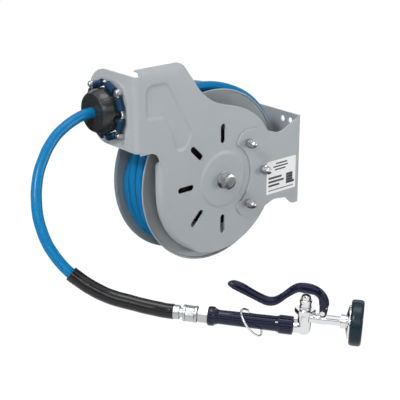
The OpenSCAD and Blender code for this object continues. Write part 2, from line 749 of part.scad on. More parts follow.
module far_flange() {
    color([0.4, 0.45, 0.5]) difference() {
        flange(far_x, -1, hub_r);
        on_axle() for (a = [45:90:315]) rotate([a, 0, 0]) translate([0, hub_bolt_r, 0])
            x_bar(far_x - 3, far_x + 1, 2.5 + screw_play);
    }
}

// Carries the water from the hub out to the hose's inner end
module outlet_elbow() {
    color([0.78, 0.7, 0.45]) on_axle() translate([port_x, 0, 0]) difference() {
        union() {
            translate([0, 0, hub_r - 4]) cylinder(h = drum_r - hub_r + 4, r = outlet_r, $fn = small_round);
            translate([0, 0, hub_r + 1]) cylinder(h = 9, d = 19 / cos(30), $fn = 6);
        }
        cylinder(h = drum_r + 1, r = water_r, $fn = small_round);
    }
}

module spring_case() {
    wall_r = case_r + 2;
    color([0.68, 0.7, 0.71]) on_axle() difference() {
        x_turned([
            [case_x, hub_flange_r + 4], [case_x, wall_r], [case_end_x, wall_r],
            [case_end_x, case_r], [case_x + case_t, case_r], [case_x + case_t, hub_flange_r + 4]]);
        for (a = [0:60:300]) rotate([a, 0, 0]) translate([0, case_r - 20, 0])
            x_bar(case_x - 1, case_x + 3, 2.5);
    }
}

// Rivets through the case's back and the near flange, and through cover and ratchet ring
module drum_rivets() {
    color([0.7, 0.7, 0.72]) on_axle() {
        for (a = [0:60:300]) rotate([a, 0, 0]) translate([0, case_r - 20, 0]) {
            x_bar(near_x - 1.5, near_x, 4);
            x_bar(near_x - 1, case_x + case_t + 1, 2.5);
            x_bar(case_x + case_t, case_x + case_t + 1.5, 4.5);
        }
        for (a = [15:90:285]) rotate([a, 0, 0]) translate([0, ratchet_r - 9, 0]) {
            x_bar(case_end_x, ratchet_x + ratchet_t + 1, 2);
            x_bar(ratchet_x + ratchet_t, ratchet_x + ratchet_t + 1.2, 3.2);
        }
    }
}

// The case's lid, with a rim that grips the case
module spring_cover() {
    wall_r = case_r + 2;
    color([0.68, 0.7, 0.71]) on_axle() difference() {
        x_turned([
            [case_end_x, 16], [case_end_x, wall_r], [case_end_x - 6, wall_r],
            [case_end_x - 6, wall_r + 1.5], [ratchet_x - 0.8, wall_r + 1.5],
            [ratchet_x, wall_r + 0.7], [ratchet_x, 16]]);
        for (a = [15:90:285]) rotate([a, 0, 0]) translate([0, ratchet_r - 9, 0])
            x_bar(case_end_x - 1, ratchet_x + 1, 2);
    }
}

// Each notch slopes in from the pawl's side and ends in a steep face
module ratchet_outline() {
    step = 360 / teeth;
    notch_r = ratchet_r - 6.5;
    polygon([for (i = [0:teeth - 1]) let (a = i * step + ratchet_phase) each [
        polar(ratchet_r, a), polar(notch_r, a + 0.4 * step),
        polar(notch_r, a + 0.64 * step), polar(ratchet_r, a + 0.79 * step)]]);
}

module ratchet_ring() {
    color([0.5, 0.51, 0.53]) on_axle() difference() {
        x_sheet(ratchet_x, ratchet_x + ratchet_t) ratchet_outline();
        x_bar(ratchet_x - 1, ratchet_x + ratchet_t + 1, ratchet_hole_r, round_sides);
        for (a = [15:90:285]) rotate([a, 0, 0]) translate([0, ratchet_r - 9, 0])
            x_bar(ratchet_x - 1, ratchet_x + ratchet_t + 1, 2);
    }
}

// ---------- hose ----------

function drum_point(r, angle, x) = [x, r * cos(angle) - axle_reach, r * sin(angle) + axle_z];
function strand_x(k) = far_x + (k + 0.5) * pitch;

// Each strand lies straight for half a turn and steps over in the other half
function winding_x(angle) =
    let (turns = (angle - step_start) / 360 + strands - 1,
         k = max(min(floor(turns), strands - 2), 0), part = min(max(turns - k, 0) * 2, 1))
    strand_x(k) + pitch * ease(part);

first_angle = step_start - 360 * (strands - 1) - 180 - dive_turn;
function winding_radius(angle) =
    angle < first_angle + dive_turn
        ? winding_r - pitch / 2 * (1 + cos(180 * (angle - first_angle) / dive_turn))
        : winding_r;

ring_count = ceil((last_turn_start - first_angle) * loop_rings / 360);
winding_curve = [for (i = [0:ring_count])
    let (angle = first_angle + (last_turn_start - first_angle) * i / ring_count)
    drum_point(winding_radius(angle), angle, winding_x(angle))];
winding_path = concat(
    [winding_curve[0] - hose_d * unit(winding_curve[1] - winding_curve[0])], winding_curve);

// The last part turn stands still over the strands and runs straight to the guide
function last_turn_x(angle) =
    let (from = strand_x(strands - 1) - body_gap)
    from + (lead_x - from) * ease(max(0, (angle - shift_start) / (lead_angle - shift_start)));
last_turn = [for (i = [0:last_turn_rings])
    let (angle = last_turn_start + (lead_angle - last_turn_start) * i / last_turn_rings)
    drum_point(top_r, angle, last_turn_x(angle))];
lead_target = [guide_x, ball_back_y, guide_z];
lead_dir = unit(lead_target - last_turn[last_turn_rings]);
lead_path = concat(
    [last_turn[0] - hose_d * unit(last_turn[1] - last_turn[0])],
    last_turn,
    [last_turn[last_turn_rings] + 0.5 * (lead_target - last_turn[last_turn_rings]),
     lead_target - 12 * lead_dir, lead_target, [guide_x, ball_face_y, guide_z]]);

self_gap = min([for (i = [0:len(winding_path) - 1]) for (j = [i + loop_rings / 2:len(winding_path) - 1])
    norm(winding_path[j] - winding_path[i])]) - hose_d;
echo(winding_self_gap_mm = self_gap);

module hose_inner_layers() {
    color([0.02, 0.36, 0.6]) on_axle() x_turned([
        [far_x + 0.1, drum_r + 0.2], [far_x + 0.1, core_r],
        [near_x - 0.1, core_r], [near_x - 0.1, drum_r + 0.2]]);
}

module hose_winding() {
    color([0.02, 0.4, 0.65]) tube(winding_path, hose_d / 2, winding_sides);
}

module hose_lead() { color([0.02, 0.4, 0.65]) tube(lead_path, hose_d / 2, free_sides); }

// The hose's end at the ferrule, in the wall's frame
function valve_point(s, h) =
    let (c = cos(valve_tilt), d = sin(valve_tilt), x = -s * c + h * d, z = s * d + h * c)
    valve_head + [x * cos(valve_heading), x * sin(valve_heading), z];

free_path = concat([[guide_x, ball_face_y, guide_z]], free_points,
    [valve_point(hose_end_s, axis_h)]);
sleeve_path = [for (i = [sleeve_start + 1:len(free_path) - 1]) free_path[i]];

module hose_free() { color([0.02, 0.4, 0.65]) tube(free_path, hose_d / 2, free_sides); }

module hose_sleeve() {
    color([0.05, 0.05, 0.06]) pipe(sleeve_path, sleeve_r, hose_d / 2 + 0.1, free_sides);
}

// ---------- hose guide ----------

ring_corner_r = guide_apothem / cos(22.5);
ring_side = 2 * guide_apothem * tan(22.5);

// Puts a child, made along Z, on side i of the octagon
module on_side(i) {
    at_guide() translate([0, ring_y, 0]) rotate([0, -22.5 - 45 * i, 0])
        translate([guide_apothem, 0, 0]) children();
}

module guide_wire(r) {
    for (i = [0:7]) {
        on_side(i) translate([0, 0, -ring_side / 2]) cylinder(h = ring_side, r = r, $fn = small_round);
        on_side(i) translate([0, 0, ring_side / 2]) sphere(r = r + 0.2, $fn = small_round);
    }
}

module guide_ring() { color([0.85, 0.86, 0.87]) guide_wire(wire_d / 2); }

module guide_clips() {
    corner_at = ring_corner_r * cos(45);
    color([0.8, 0.81, 0.82]) difference() {
        at_guide() for (x = [-1, 1]) for (z = [-1, 1]) {
            translate([x * corner_at, 0, z * corner_at])
                y_bar(clip_front_y, tab_y - pad_t, 4.6);
            translate([x * clip_screw[0], 0, z * clip_screw[1]])
                y_bar(clip_front_y, tab_y - pad_t, 5.5);
        }
        guide_wire(wire_d / 2 + 0.05);
        at_guide() for (x = [-1, 1] * clip_screw[0]) for (z = [-1, 1] * clip_screw[1])
            translate([x, 0, z]) y_bar(clip_front_y - 1, tab_y, guide_screw_r);
    }
}

module guide_screws() {
    color([0.75, 0.76, 0.78]) difference() {
        at_guide() for (x = [-1, 1] * clip_screw[0]) for (z = [-1, 1] * clip_screw[1])
            translate([x, 0, z]) {
                y_bar(clip_front_y - 0.5, tab_y + sheet + 6, guide_screw_r);
                y_bar(clip_front_y - head_h, clip_front_y, 4);
            }
        guide_wire(wire_d / 2 + 0.1);
    }
}

module guide_roller(i) {
    color([0.1, 0.25, 0.55]) on_side(i) difference() {
        translate([0, 0, -roller_length / 2]) rotate_extrude($fn = round_sides) polygon([
            [wire_d / 2 + running_fit, 0], [roller_d / 2 - 1, 0], [roller_d / 2, 1],
            [roller_d / 2, roller_length - 1], [roller_d / 2 - 1, roller_length],
            [wire_d / 2 + running_fit, roller_length]]);
    }
}

// The bumper ball, split along its middle at 45 degrees; side is +1 or -1
bumper_screw_r = 2.5;
bumper_screw_out = 20;
module on_split() { at_guide() translate([0, ball_y, 0]) rotate([0, -45, 0]) children(); }

module bumper_half(side) {
    difference() {
        on_split() intersection() {
            sphere(r = ball_r, $fn = round_sides);
            translate([-ball_r - 1, ball_face_y - ball_y, side > 0 ? ball_split / 2 : -ball_r - 1])
                cube([2 * ball_r + 2, 2 * ball_r, ball_r + 1 - ball_split / 2]);
        }
        at_guide() y_bar(ball_face_y - 1, ball_y + ball_r + 1, hose_d / 2 + 0.05, round_sides);
        on_split() for (x = [-1, 1] * bumper_screw_out) translate([x, 0, 0]) {
            translate([0, 0, -ball_r]) cylinder(h = 2 * ball_r, r = bumper_screw_r, $fn = small_round);
            translate([0, 0, -ball_r - 1]) cylinder(h = ball_r - 13, r = 5.5, $fn = small_round);
            translate([0, 0, 14]) cylinder(h = ball_r, r = 5.5, $fn = small_round);
        }
    }
}

module bumper_half_lower() { color([0.2, 0.2, 0.21]) bumper_half(-1); }

module bumper_half_upper() { color([0.22, 0.22, 0.23]) bumper_half(1); }

module bumper_screws() {
    color([0.75, 0.76, 0.78]) on_split() for (x = [-1, 1] * bumper_screw_out)
        translate([x, 0, 0]) {
            translate([0, 0, -17]) cylinder(h = 33, r = bumper_screw_r, $fn = small_round);
            translate([0, 0, -17.5]) cylinder(h = 3.5, r = 4.5, $fn = small_round);
            translate([0, 0, 14]) cylinder(h = 4, d = 8 / cos(30), $fn = 6);
        }
}

// ---------- spray valve ----------

module in_valve() {
    translate(valve_head) rotate([0, valve_tilt, valve_heading]) children();
}

// A body turned about the valve's s axis at height h, from points of s and radius
module s_turned(profile, h) {
    translate([0, 0, h]) rotate([0, -90, 0])
        rotate_extrude($fn = round_sides) polygon([for (p = profile) [p[1], p[0]]]);
}

module s_bar(from, to, r, h) {
    translate([-from, 0, h]) rotate([0, -90, 0]) cylinder(h = to - from, r = r, $fn = small_round);
}

module s_hex(from, to, across, h) {
    translate([-from, 0, h]) rotate([0, -90, 0]) cylinder(h = to - from, d = across / cos(30), $fn = 6);
}

module barrel(from, to, r) {
    translate([-barrel_s, 0, from]) cylinder(h = to - from, r = r, $fn = round_sides);
}

module valve_body() {
    color([0.8, 0.82, 0.84]) in_valve() difference() {
        union() {
            barrel(axis_h - 2, seat_h, barrel_r);
            translate([-barrel_s, 0, axis_h - 2]) sphere(r = barrel_r, $fn = round_sides);
            s_bar(barrel_s, 92, barrel_r, axis_h);
            s_bar(17, barrel_s, 6.75, 0);
            s_bar(44, 58, 7.5, 0);
            // lug for the lever's pin
            translate([-pin_s, 3, pin_h]) rotate([90, 0, 0]) cylinder(h = 6, r = 5, $fn = small_round);
            translate([-pin_s - 5, -3, 0]) cube([10, 6, pin_h]);
        }
        s_bar(16, barrel_s, 4.5, 0);
        barrel(axis_h, seat_h + 1, 7);
        s_bar(barrel_s, 93, tube_bore_r, axis_h);
        s_bar(86, 93, tube_r, axis_h);
        translate([-pin_s, 8, pin_h]) rotate([90, 0, 0]) cylinder(h = 16, r = pin_r, $fn = small_round);
    }
}

module valve_bonnet() {
    color([0.8, 0.82, 0.84]) in_valve() difference() {
        union() {
            translate([-barrel_s, 0, seat_h])
                cylinder(h = 14 - seat_h, d = 27 / cos(30), $fn = 6);
            translate([-barrel_s, 0, 0]) rotate_extrude($fn = round_sides) polygon([
                [0, 0], [7, 0], [7, seat_h], [9, seat_h], [9, 17], [8.3, 19], [8.3, 22], [9, 24],
                [9, 28.4], [8.4, 29], [0, 29]]);
        }
        barrel(-1, 19, stem_r + running_fit);
        barrel(stem_pocket_h, 30, stem_cap_r + 0.5);
        barrel(18, stem_pocket_h + 1, stem_r + running_fit);
    }
}

module valve_stem() {
    color([0.8, 0.82, 0.84]) in_valve() translate([-barrel_s, 0, 0])
        rotate_extrude($fn = round_sides) polygon(concat(
            [[0, -10], [5.5, -10], [5.5, -7], [stem_r, -7], [stem_r, stem_cap_h],
             [stem_cap_r, stem_cap_h], [stem_cap_r, 33]],
            [for (a = [15:15:90]) [stem_cap_r * cos(a), 33 + 4.9 * sin(a)]]));
}

// The lever's middle line, in s, h and thickness, and its section at each station
lever_curve = smooth(lever_stations, 2);
function lever_ring(i) =
    let (q = lever_curve[i], a = lever_curve[max(i - 1, 0)],
         b = lever_curve[min(i + 1, len(lever_curve) - 1)],
         t = unit([b[0] - a[0], b[1] - a[1]]),
         w = lever_w * min(1, 0.35 + q[2] / 12))
    [for (j = [0:lever_sides - 1]) let (c = cos(360 * j / lever_sides), d = sin(360 * j / lever_sides))
        [-q[0] + t[1] * c * q[2] / 2, w / 2 * d, q[1] + t[0] * c * q[2] / 2]];

module lever_solid() {
    n = len(lever_curve);
    polyhedron(
        points = [for (i = [0:n - 1]) each lever_ring(i)],
        faces = concat(
            [for (i = [0:n - 2])
                each band(i * lever_sides, (i + 1) * lever_sides, lever_sides)],
            cap_fan(0, lever_sides), flip(cap_fan((n - 1) * lever_sides, lever_sides))));
}

module lever() {
    color([0.14, 0.14, 0.23]) in_valve() difference() {
        lever_solid();
        translate([-pin_s - 9, -fork_w / 2, -2]) cube([20, fork_w, pin_h + 12]);
        translate([-pin_s, 10, pin_h]) rotate([90, 0, 0])
            cylinder(h = 20, r = pin_r + running_fit, $fn = small_round);
    }
}

module lever_pin() {
    color([0.8, 0.82, 0.84]) in_valve() translate([-pin_s, 0, pin_h]) rotate([90, 0, 0]) {
        translate([0, 0, -8.4]) cylinder(h = 16.8, r = pin_r, $fn = small_round);
        for (z = [-9.4, 7.9]) translate([0, 0, z]) cylinder(h = 1.5, r = 3.65, $fn = small_round);
    }
}

module grip_tube() {
    color([0.75, 0.76, 0.78]) in_valve() s_turned([
        [86, tube_bore_r], [86, tube_r], [adapter_s - 2, tube_r], [adapter_s - 2, tube_bore_r]], axis_h);
    color([0.75, 0.76, 0.78]) in_valve() difference() {
        s_hex(collar_s, adapter_s, 22, axis_h);
        s_bar(collar_s - 1, adapter_s + 1, tube_r - 0.5, axis_h);
    }
    color([0.75, 0.76, 0.78]) in_valve() s_turned([
        [adapter_s - 2, tube_bore_r], [adapter_s - 2, 8.5], [nut_s + 10, 8.5],
        [nut_s + 10, tube_bore_r]], axis_h);
}

module grip() {
    color([0.14, 0.14, 0.23]) in_valve() s_turned([
        [92, tube_r], [92, 12.8], [93.2, 14], [112, 14], [grip_s, 12.4], [grip_s + 4, 11.5],
        [grip_end_s - 5, 10.7], [grip_end_s, 12.2], [grip_end_s + 2, 14.2],
        [grip_end_s + 4, 14.7], [collar_s - 3, 14.7], [collar_s - 1, 14.2],
        [collar_s, 12.8], [collar_s, tube_r]], axis_h);
}

module spray_head() {
    color([0.8, 0.82, 0.84]) in_valve() s_turned([
        [17, 6.75], [23, 6.75], [23, 9.4], [22.4, 10], [15.6, 10], [15, 10.8],
        [13.4, 20], [12, 24], [10.5, 25], [-3, 25], [-3, 23.6], [9, 23.6],
        [11, 20], [13, 10], [13, 4.5], [17, 4.5]], 0);
}

module spray_face() {
    color([0.2, 0.22, 0.24]) in_valve() difference() {
        s_turned([[-3, 0], [-3, 23.6], [0, 23.6], [0, 0]], 0);
        for (r = [8, 15]) for (a = [0:360 / (r - 1):359])
            translate([0, r * cos(a), r * sin(a)]) s_bar(-4, 1, 1, 0);
    }
}

module head_ring() {
    r = head_d / 2;
    color([0.17, 0.24, 0.28]) in_valve() s_turned([
        [9.5, 25], [9.5, r - 4], [8.5, r - 1.6], [6.5, r - 0.4], [4, r], [-5, r],
        [-7.4, r - 0.8], [-8.6, r - 2.4], [-9, r - 4.6], [-9, 24.6], [-8, 23], [-6.5, 22.2],
        [-3.2, 22.2], [-3.2, 25]], 0);
}

module hold_ring() {
    color([0.8, 0.82, 0.84]) in_valve() translate([-hold_ring_s, 0, axis_h - hold_ring_drop])
        rotate([0, hold_ring_tilt, 0]) rotate_extrude($fn = round_sides)
            translate([hold_ring_r, 0]) circle(r = hold_ring_wire_r, $fn = small_round);
}

module coupling_nut() {
    end_s = nut_s + nut_length;
    color([0.6, 0.62, 0.63]) in_valve() difference() {
        union() {
            s_hex(nut_s + 1, end_s - 1, 24, axis_h);
            s_bar(nut_s, nut_s + 3.4, 12.7, axis_h);
            s_bar(end_s - 3.4, end_s, 12.7, axis_h);
        }
        s_bar(nut_s - 1, end_s - 6.5, 8.8, axis_h);
        s_bar(nut_s, end_s + 1, 7.15 + running_fit, axis_h);
    }
}

module hose_ferrule() {
    end_s = nut_s + nut_length;
    color([0.6, 0.62, 0.63]) in_valve() s_turned([
        [end_s - 10.7, tube_bore_r], [end_s - 10.7, 8.45], [end_s - 6.8, 8.45],
        [end_s - 6.8, 7.15], [ferrule_s, 7.15], [ferrule_s, 10], [ferrule_s + 0.6, 10.6],
        [hose_end_s, 10.6], [hose_end_s, tube_bore_r]], axis_h);
}

// ---------- nodes ----------

mounting_bracket();
side_arm();
bracket_bolts();
bracket_nuts();
cap_nuts();
axle_shaft();
axle_washers();
axle_jam_nut();
axle_end_nut();
inlet_lock_nut();
spring_arbor();
arbor_pin();
main_spring();
pawl();
pawl_pin();
pawl_spring();
swivel_hub();
hub_bushings();
hub_seals();
hub_screws();
drum_core();
near_flange();
far_flange();
outlet_elbow();
spring_case();
drum_rivets();
spring_cover();
ratchet_ring();
hose_inner_layers();
hose_winding();
hose_lead();
hose_free();
hose_sleeve();
guide_ring();
guide_clips();
guide_screws();
for (i = [0:7]) guide_roller(i);
bumper_half_lower();
bumper_half_upper();
bumper_screws();
valve_body();
valve_bonnet();
valve_stem();
lever();
lever_pin();
grip_tube();
grip();
spray_head();
spray_face();
head_ring();
hold_ring();
coupling_nut();
hose_ferrule();
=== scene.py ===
# %% [markdown]
# # Wall-mounted water hose reel
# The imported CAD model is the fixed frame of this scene: its pieces have the real sizes
# and ride on the joints. The script adds camera, light and floor, gives every CAD piece
# a procedural finish, and makes anew the pieces whose surface shows more than the CAD
# solids hold: the hose, the stamped side arm, nuts, cap nuts and guide screws, the near
# flange and the coupling nut. Blender counts in metres, and real sizes are written in
# millimetres. Those of the hose are multiplied by MM where they are named. Outlines and
# sections stay in millimetres until a matrix or a function places them.

# %% Load the frame
import json
import math

import bmesh
import bpy
import numpy as np
from mathutils import Matrix, Vector, geometry


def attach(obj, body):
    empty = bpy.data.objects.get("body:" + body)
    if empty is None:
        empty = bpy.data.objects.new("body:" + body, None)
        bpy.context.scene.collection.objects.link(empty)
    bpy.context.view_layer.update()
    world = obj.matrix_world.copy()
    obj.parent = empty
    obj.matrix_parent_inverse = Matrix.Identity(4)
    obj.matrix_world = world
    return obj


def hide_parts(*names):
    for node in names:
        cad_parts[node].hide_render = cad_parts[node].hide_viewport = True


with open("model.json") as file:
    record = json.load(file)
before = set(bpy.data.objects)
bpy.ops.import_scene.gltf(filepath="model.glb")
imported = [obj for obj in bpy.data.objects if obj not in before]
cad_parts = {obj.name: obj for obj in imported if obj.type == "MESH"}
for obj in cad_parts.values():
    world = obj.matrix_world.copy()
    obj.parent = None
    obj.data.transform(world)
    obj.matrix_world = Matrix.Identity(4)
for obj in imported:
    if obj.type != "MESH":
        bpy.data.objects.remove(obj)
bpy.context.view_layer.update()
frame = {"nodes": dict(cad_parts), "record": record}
MM = 0.001
AXLE_Y = -181
GUIDE_X, GUIDE_Y, GUIDE_Z = -2, -368.5, 139.5
AXLE = Vector((0, AXLE_Y, 0)) * MM
GUIDE = Vector((GUIDE_X, GUIDE_Y, GUIDE_Z)) * MM
# Millimetres about the axle: u along Y, v along Z and w along X
FROM_AXLE = Matrix.Translation(AXLE) @ Matrix.Scale(MM, 4) @ Matrix(
    ((0, 0, 1, 0), (1, 0, 0, 0), (0, 1, 0, 0), (0, 0, 0, 1)))
# An edge sharper than this isn't shaded smooth
SHARP = math.radians(38)
# A tube's last ring is merged with its first within this distance
WELD = 0.02 * MM

# %% [markdown]
# ## Camera
# It stands 50 degrees round from the front and 20 above, 1.7 metres away, with a long
# lens that keeps the drum's circle calm. A camera can be aimed with a constraint or with
# angles. A vector from the object back to the camera says the same in three numbers, and
# to_track_quat turns it into the camera's attitude.

# %% Camera
BACK = Vector((0.718, -0.6057, 0.3432)).normalized()
camera_data = bpy.data.cameras.new("camera")
camera_data.lens = 96.9
camera_data.sensor_width = 36
camera = bpy.data.objects.new("camera", camera_data)
camera.location = (1.3611, -1.3216, 0.5922)
camera.rotation_mode = "QUATERNION"
camera.rotation_quaternion = (-BACK).to_track_quat("-Z", "Y")
bpy.context.scene.collection.objects.link(camera)
bpy.context.scene.camera = camera
print(f"camera {(camera.location - GUIDE).length:.2f} m from the hose guide")

# %% [markdown]
# ## Paths
# A hose needs a path without kinks. Blender has curve objects for that, but their points
# can't be measured or shared between pieces as simply as a list. A Catmull-Rom curve runs
# through all the given points and needs no handles.

# %% Smooth paths


def smooth_curve(points, steps):
    """Catmull-Rom curve through the points, each span cut into equal steps."""
    curve = []
    last = len(points) - 1
    for i in range(last):
        a, b = points[max(i - 1, 0)], points[i]
        c, d = points[i + 1], points[min(i + 2, last)]
        for k in range(steps):
            u = k / steps
            curve.append(b + 0.5 * u * (c - a + u * (2 * a - 5 * b + 4 * c - d
                         + u * (3 * (b - c) + d - a))))
    return curve + [points[last]]


# %% [markdown]
# ## From a bmesh to a piece
# Every new piece is built as a bmesh, Blender's editable mesh. This last step welds its
# doubles, turns the faces outwards, shades it smooth except at real edges, gives it its
# finish, hangs it on the body it rides on and hides the CAD nodes it stands for.

# %% Finish a piece


def make_piece(name, bm, material, body, replaced=(), smooth=True):
    """Writes a bmesh to a piece that rides on a CAD body and stands for the replaced nodes."""
    bmesh.ops.remove_doubles(bm, verts=bm.verts, dist=1e-7)
    bmesh.ops.recalc_face_normals(bm, faces=bm.faces)
    for face in bm.faces:
        face.smooth = smooth
    for edge in bm.edges:
        if smooth and len(edge.link_faces) == 2:
            edge.smooth = edge.calc_face_angle(0) < SHARP
    mesh = bpy.data.meshes.new(name)
    bm.to_mesh(mesh)
    bm.free()
    mesh.validate()
    obj = bpy.data.objects.new(name, mesh)
    bpy.context.scene.collection.objects.link(obj)
    mesh.materials.append(material)
    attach(obj, body)
    if replaced:
        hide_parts(*replaced)
    print(f"{name}: {len(mesh.polygons)} faces on {body}")
    return obj

# %% [markdown]
# ## A circle swept along a path
# A hose is one circle extruded from station to station. Each step moves the new ring by
# the difference of two station matrices. The rings are turned as little as possible, so
# the skin doesn't twist as it would with an angle taken from the world's axes.

# %% Sweep a circle


def of_kind(geometry_list, kind):
    """The vertices, edges or faces among what an operator made."""
    return [item for item in geometry_list if isinstance(item, kind)]


def stations(path):
    """A matrix at each point of a path: z runs along it, and x and y don't twist."""
    side, places = None, []
    for i, point in enumerate(path):
        along = (path[min(i + 1, len(path) - 1)] - path[max(i - 1, 0)]).normalized()
        side = along.cross(Vector((1, 0, 0))) if side is None else side - along * side.dot(along)
        side.normalize()
        turn = Matrix((side, along.cross(side), along)).transposed()
        places.append(Matrix.Translation(point) @ turn.to_4x4())
    return places


def swept(path, radius, sides, inner=None, swell=None):
    """A round solid along a path, or a tube if inner is set; swell scales each station.

    A circle is extruded from station to station. A tube's skin turns back inside at the
    last one and is welded to the first."""
    bm = bmesh.new()
    rings = list(zip(stations(path), swell or [1] * len(path)))
    places = [m @ Matrix.Scale(radius * k, 4) for m, k in rings]
    if inner:
        places += [m @ Matrix.Scale(inner * k, 4) for m, k in reversed(rings)] + places[:1]
    ring = bmesh.ops.create_circle(bm, segments=sides, radius=1, matrix=places[0])["verts"]
    edges = first = list({edge for vert in ring for edge in vert.link_edges})
    for before, here in zip(places, places[1:]):
        made = bmesh.ops.extrude_edge_only(bm, edges=edges)["geom"]
        verts = of_kind(made, bmesh.types.BMVert)
        new = set(verts)
        edges = [e for e in of_kind(made, bmesh.types.BMEdge) if new.issuperset(e.verts)]
        bmesh.ops.transform(bm, matrix=here @ before.inverted(), verts=verts)
    if inner:
        bmesh.ops.remove_doubles(bm, verts=ring + verts, dist=WELD)
    else:
        bmesh.ops.edgeloop_fill(bm, edges=first)
        bmesh.ops.edgeloop_fill(bm, edges=edges)
    return bm

# %% [markdown]
# ## A section spun round an axis
# Nuts, screws, caps and flanges are turned parts: half a section spun a full turn, with
# the last ring merged into the first. A hexagon is turned as well. Its ring vertices are
# then pressed in to six flats, which leaves the round chamfer that a real nut has.

# %% Spin a section


def spun(rows, place, sides=72, turn=0.0):
    """A closed section of (radius, height) rows spun round z, then moved by a matrix.

    A row may be a function of the angle: its ring is then pressed to that shape."""
    bm = bmesh.new()
    ring_of = bm.verts.layers.int.new("ring")
    section = []
    for i, row in enumerate(rows):
        r, h = row(0) if callable(row) else row
        vert = bm.verts.new((r * math.cos(turn), r * math.sin(turn), h))
        vert[ring_of] = i
        section.append(vert)
    for vert, after in zip(section, section[1:] + section[:1]):
        bm.edges.new((vert, after))
    bmesh.ops.spin(bm, geom=bm.verts[:] + bm.edges[:], cent=(0, 0, 0), axis=(0, 0, 1),
                   angle=math.tau, steps=sides, use_merge=True)
    for vert in bm.verts:
        row = rows[vert[ring_of]]
        if callable(row):
            a = math.atan2(vert.co.y, vert.co.x)
            r, h = row(a - turn)
            vert.co = (r * math.cos(a), r * math.sin(a), h)
    bmesh.ops.transform(bm, matrix=place, verts=bm.verts)
    return bm

# %% [markdown]
# ## Grids, sheets and joining
# Rolled lips and bends are strips whose section changes along their length, which a spin
# or a sweep can't give. A grid whose rows are moved onto the sections can. A flat sheet
# becomes solid when all its faces are extruded at once.

# %% Grids and sheets


def laid_grid(table, closed_ends=False):
    """A grid moved onto a table of points; closed_ends puts a face on its first and last row."""
    bm = bmesh.new()
    bmesh.ops.create_grid(bm, x_segments=len(table[0]) - 1, y_segments=len(table) - 1, size=1)
    verts = list(bm.verts)
    for vert, point in zip(verts, [point for row in table for point in row], strict=True):
        vert.co = point
    if closed_ends:
        bm.faces.new(verts[:len(table[0])])
        bm.faces.new(verts[-len(table[0]):])
    return bm


def thickened(bm, offset):
    """Extrudes every face of an open sheet by one offset, which makes a closed solid."""
    made = bmesh.ops.extrude_face_region(bm, geom=bm.faces[:])["geom"]
    bmesh.ops.translate(bm, verts=of_kind(made, bmesh.types.BMVert), vec=offset)
    return bm


def joined(*parts):
    """One bmesh out of several, which are used up."""
    whole = bmesh.new()
    for part in parts:
        mesh = bpy.data.meshes.new("part")
        part.to_mesh(mesh)
        part.free()
        whole.from_mesh(mesh)
        bpy.data.meshes.remove(mesh)
    return whole

# %% [markdown]
# ## Outlines with rounded corners
# Sheet parts are cut from flat outlines. Each corner has its own radius, so the outline is
# worked out as points and arcs before any face is made.

# %% Rounded outlines


def round_corner(a, p, b, r, steps=6):
    """Points of one rounded corner at p between a and b."""
    u, v = (a - p).normalized(), (b - p).normalized()
    half = math.acos(max(-1, min(1, u.dot(v)))) / 2
    centre = p + (u + v).normalized() * r / math.sin(half)
    s, e = p + u * r / math.tan(half) - centre, p + v * r / math.tan(half) - centre
    start = math.atan2(s.y, s.x)
    turn = math.atan2(e.y, e.x) - start
    turn = (turn + math.pi) % math.tau - math.pi
    return [centre + r * Vector((math.cos(start + turn * i / steps),
                                 math.sin(start + turn * i / steps))) for i in range(steps + 1)]


def rounded(points, steps=6):
    """An outline from (x, y, corner radius) points."""
    n, out = len(points), []
    xy = [Vector(p[:2]) for p in points]
    for i, p in enumerate(points):
        out += [xy[i]] if p[2] <= 0 else round_corner(
            xy[i - 1], xy[i], xy[(i + 1) % n], p[2], steps)
    return out

# %% [markdown]
# ## Shader nodes in writing
# A material, a group and the world are trees of nodes. In the editor they are placed and
# wired by hand. In a script the same tree reads best when each node is one statement that
# says what goes into it: a plain value, or the output of another node.

# %% Shader nodes in writing


def feed(node, inputs):
    """Sets a node's inputs, each from a value or from an (other node, its output) pair."""
    links = node.id_data.links
    for socket, value in inputs.items():
        if isinstance(value, tuple) and isinstance(value[0], bpy.types.Node):
            links.new(value[0].outputs[value[1]], node.inputs[socket])
        else:
            node.inputs[socket].default_value = value


def shader_node(tree, kind, inputs=None, **settings):
    """A new shader node with its settings and its inputs."""
    node = tree.nodes.new("ShaderNode" + kind)
    for setting, value in settings.items():
        setattr(node, setting, value)
    feed(node, inputs or {})
    return node


def grey_ramp(tree, source, stops, blue=1.0):
    """A colour ramp through (place, grey) stops; blue above 1 makes the greys cooler."""
    ramp = shader_node(tree, "ValToRGB", {"Fac": source})
    elements = ramp.color_ramp.elements
    elements.remove(elements[1])
    for i, (place, grey) in enumerate(stops):
        element = elements.new(place) if i else elements[0]
        element.color = (grey, grey, grey * blue, 1)
    return ramp

# %% [markdown]
# ## Where an edge is
# Outer edges catch a thin line of light, and the finishes paint that highlight in as a
# paler colour close to every edge. It could be painted by hand on a UV map. A Bevel node
# finds the edges on any piece: its normal differs from the face's own only close to an edge.

# %% Where an edge is
EDGE_REACH = 1.2 * MM
# How alike the two normals are where the painted edge highlight begins and where it is full
HIGHLIGHT_BEGINS, HIGHLIGHT_FULL = 0.98, 0.8


def edge_mask(tree):
    """0 on a face, rising to 1 at a sharp edge."""
    softened = shader_node(tree, "Bevel", {"Radius": EDGE_REACH})
    own = shader_node(tree, "NewGeometry")
    alike = shader_node(tree, "VectorMath", {0: (softened, "Normal"), 1: (own, "Normal")},
                        operation="DOT_PRODUCT")
    return shader_node(tree, "MapRange", {"Value": (alike, "Value"), "From Min": HIGHLIGHT_BEGINS,
                                          "From Max": HIGHLIGHT_FULL})
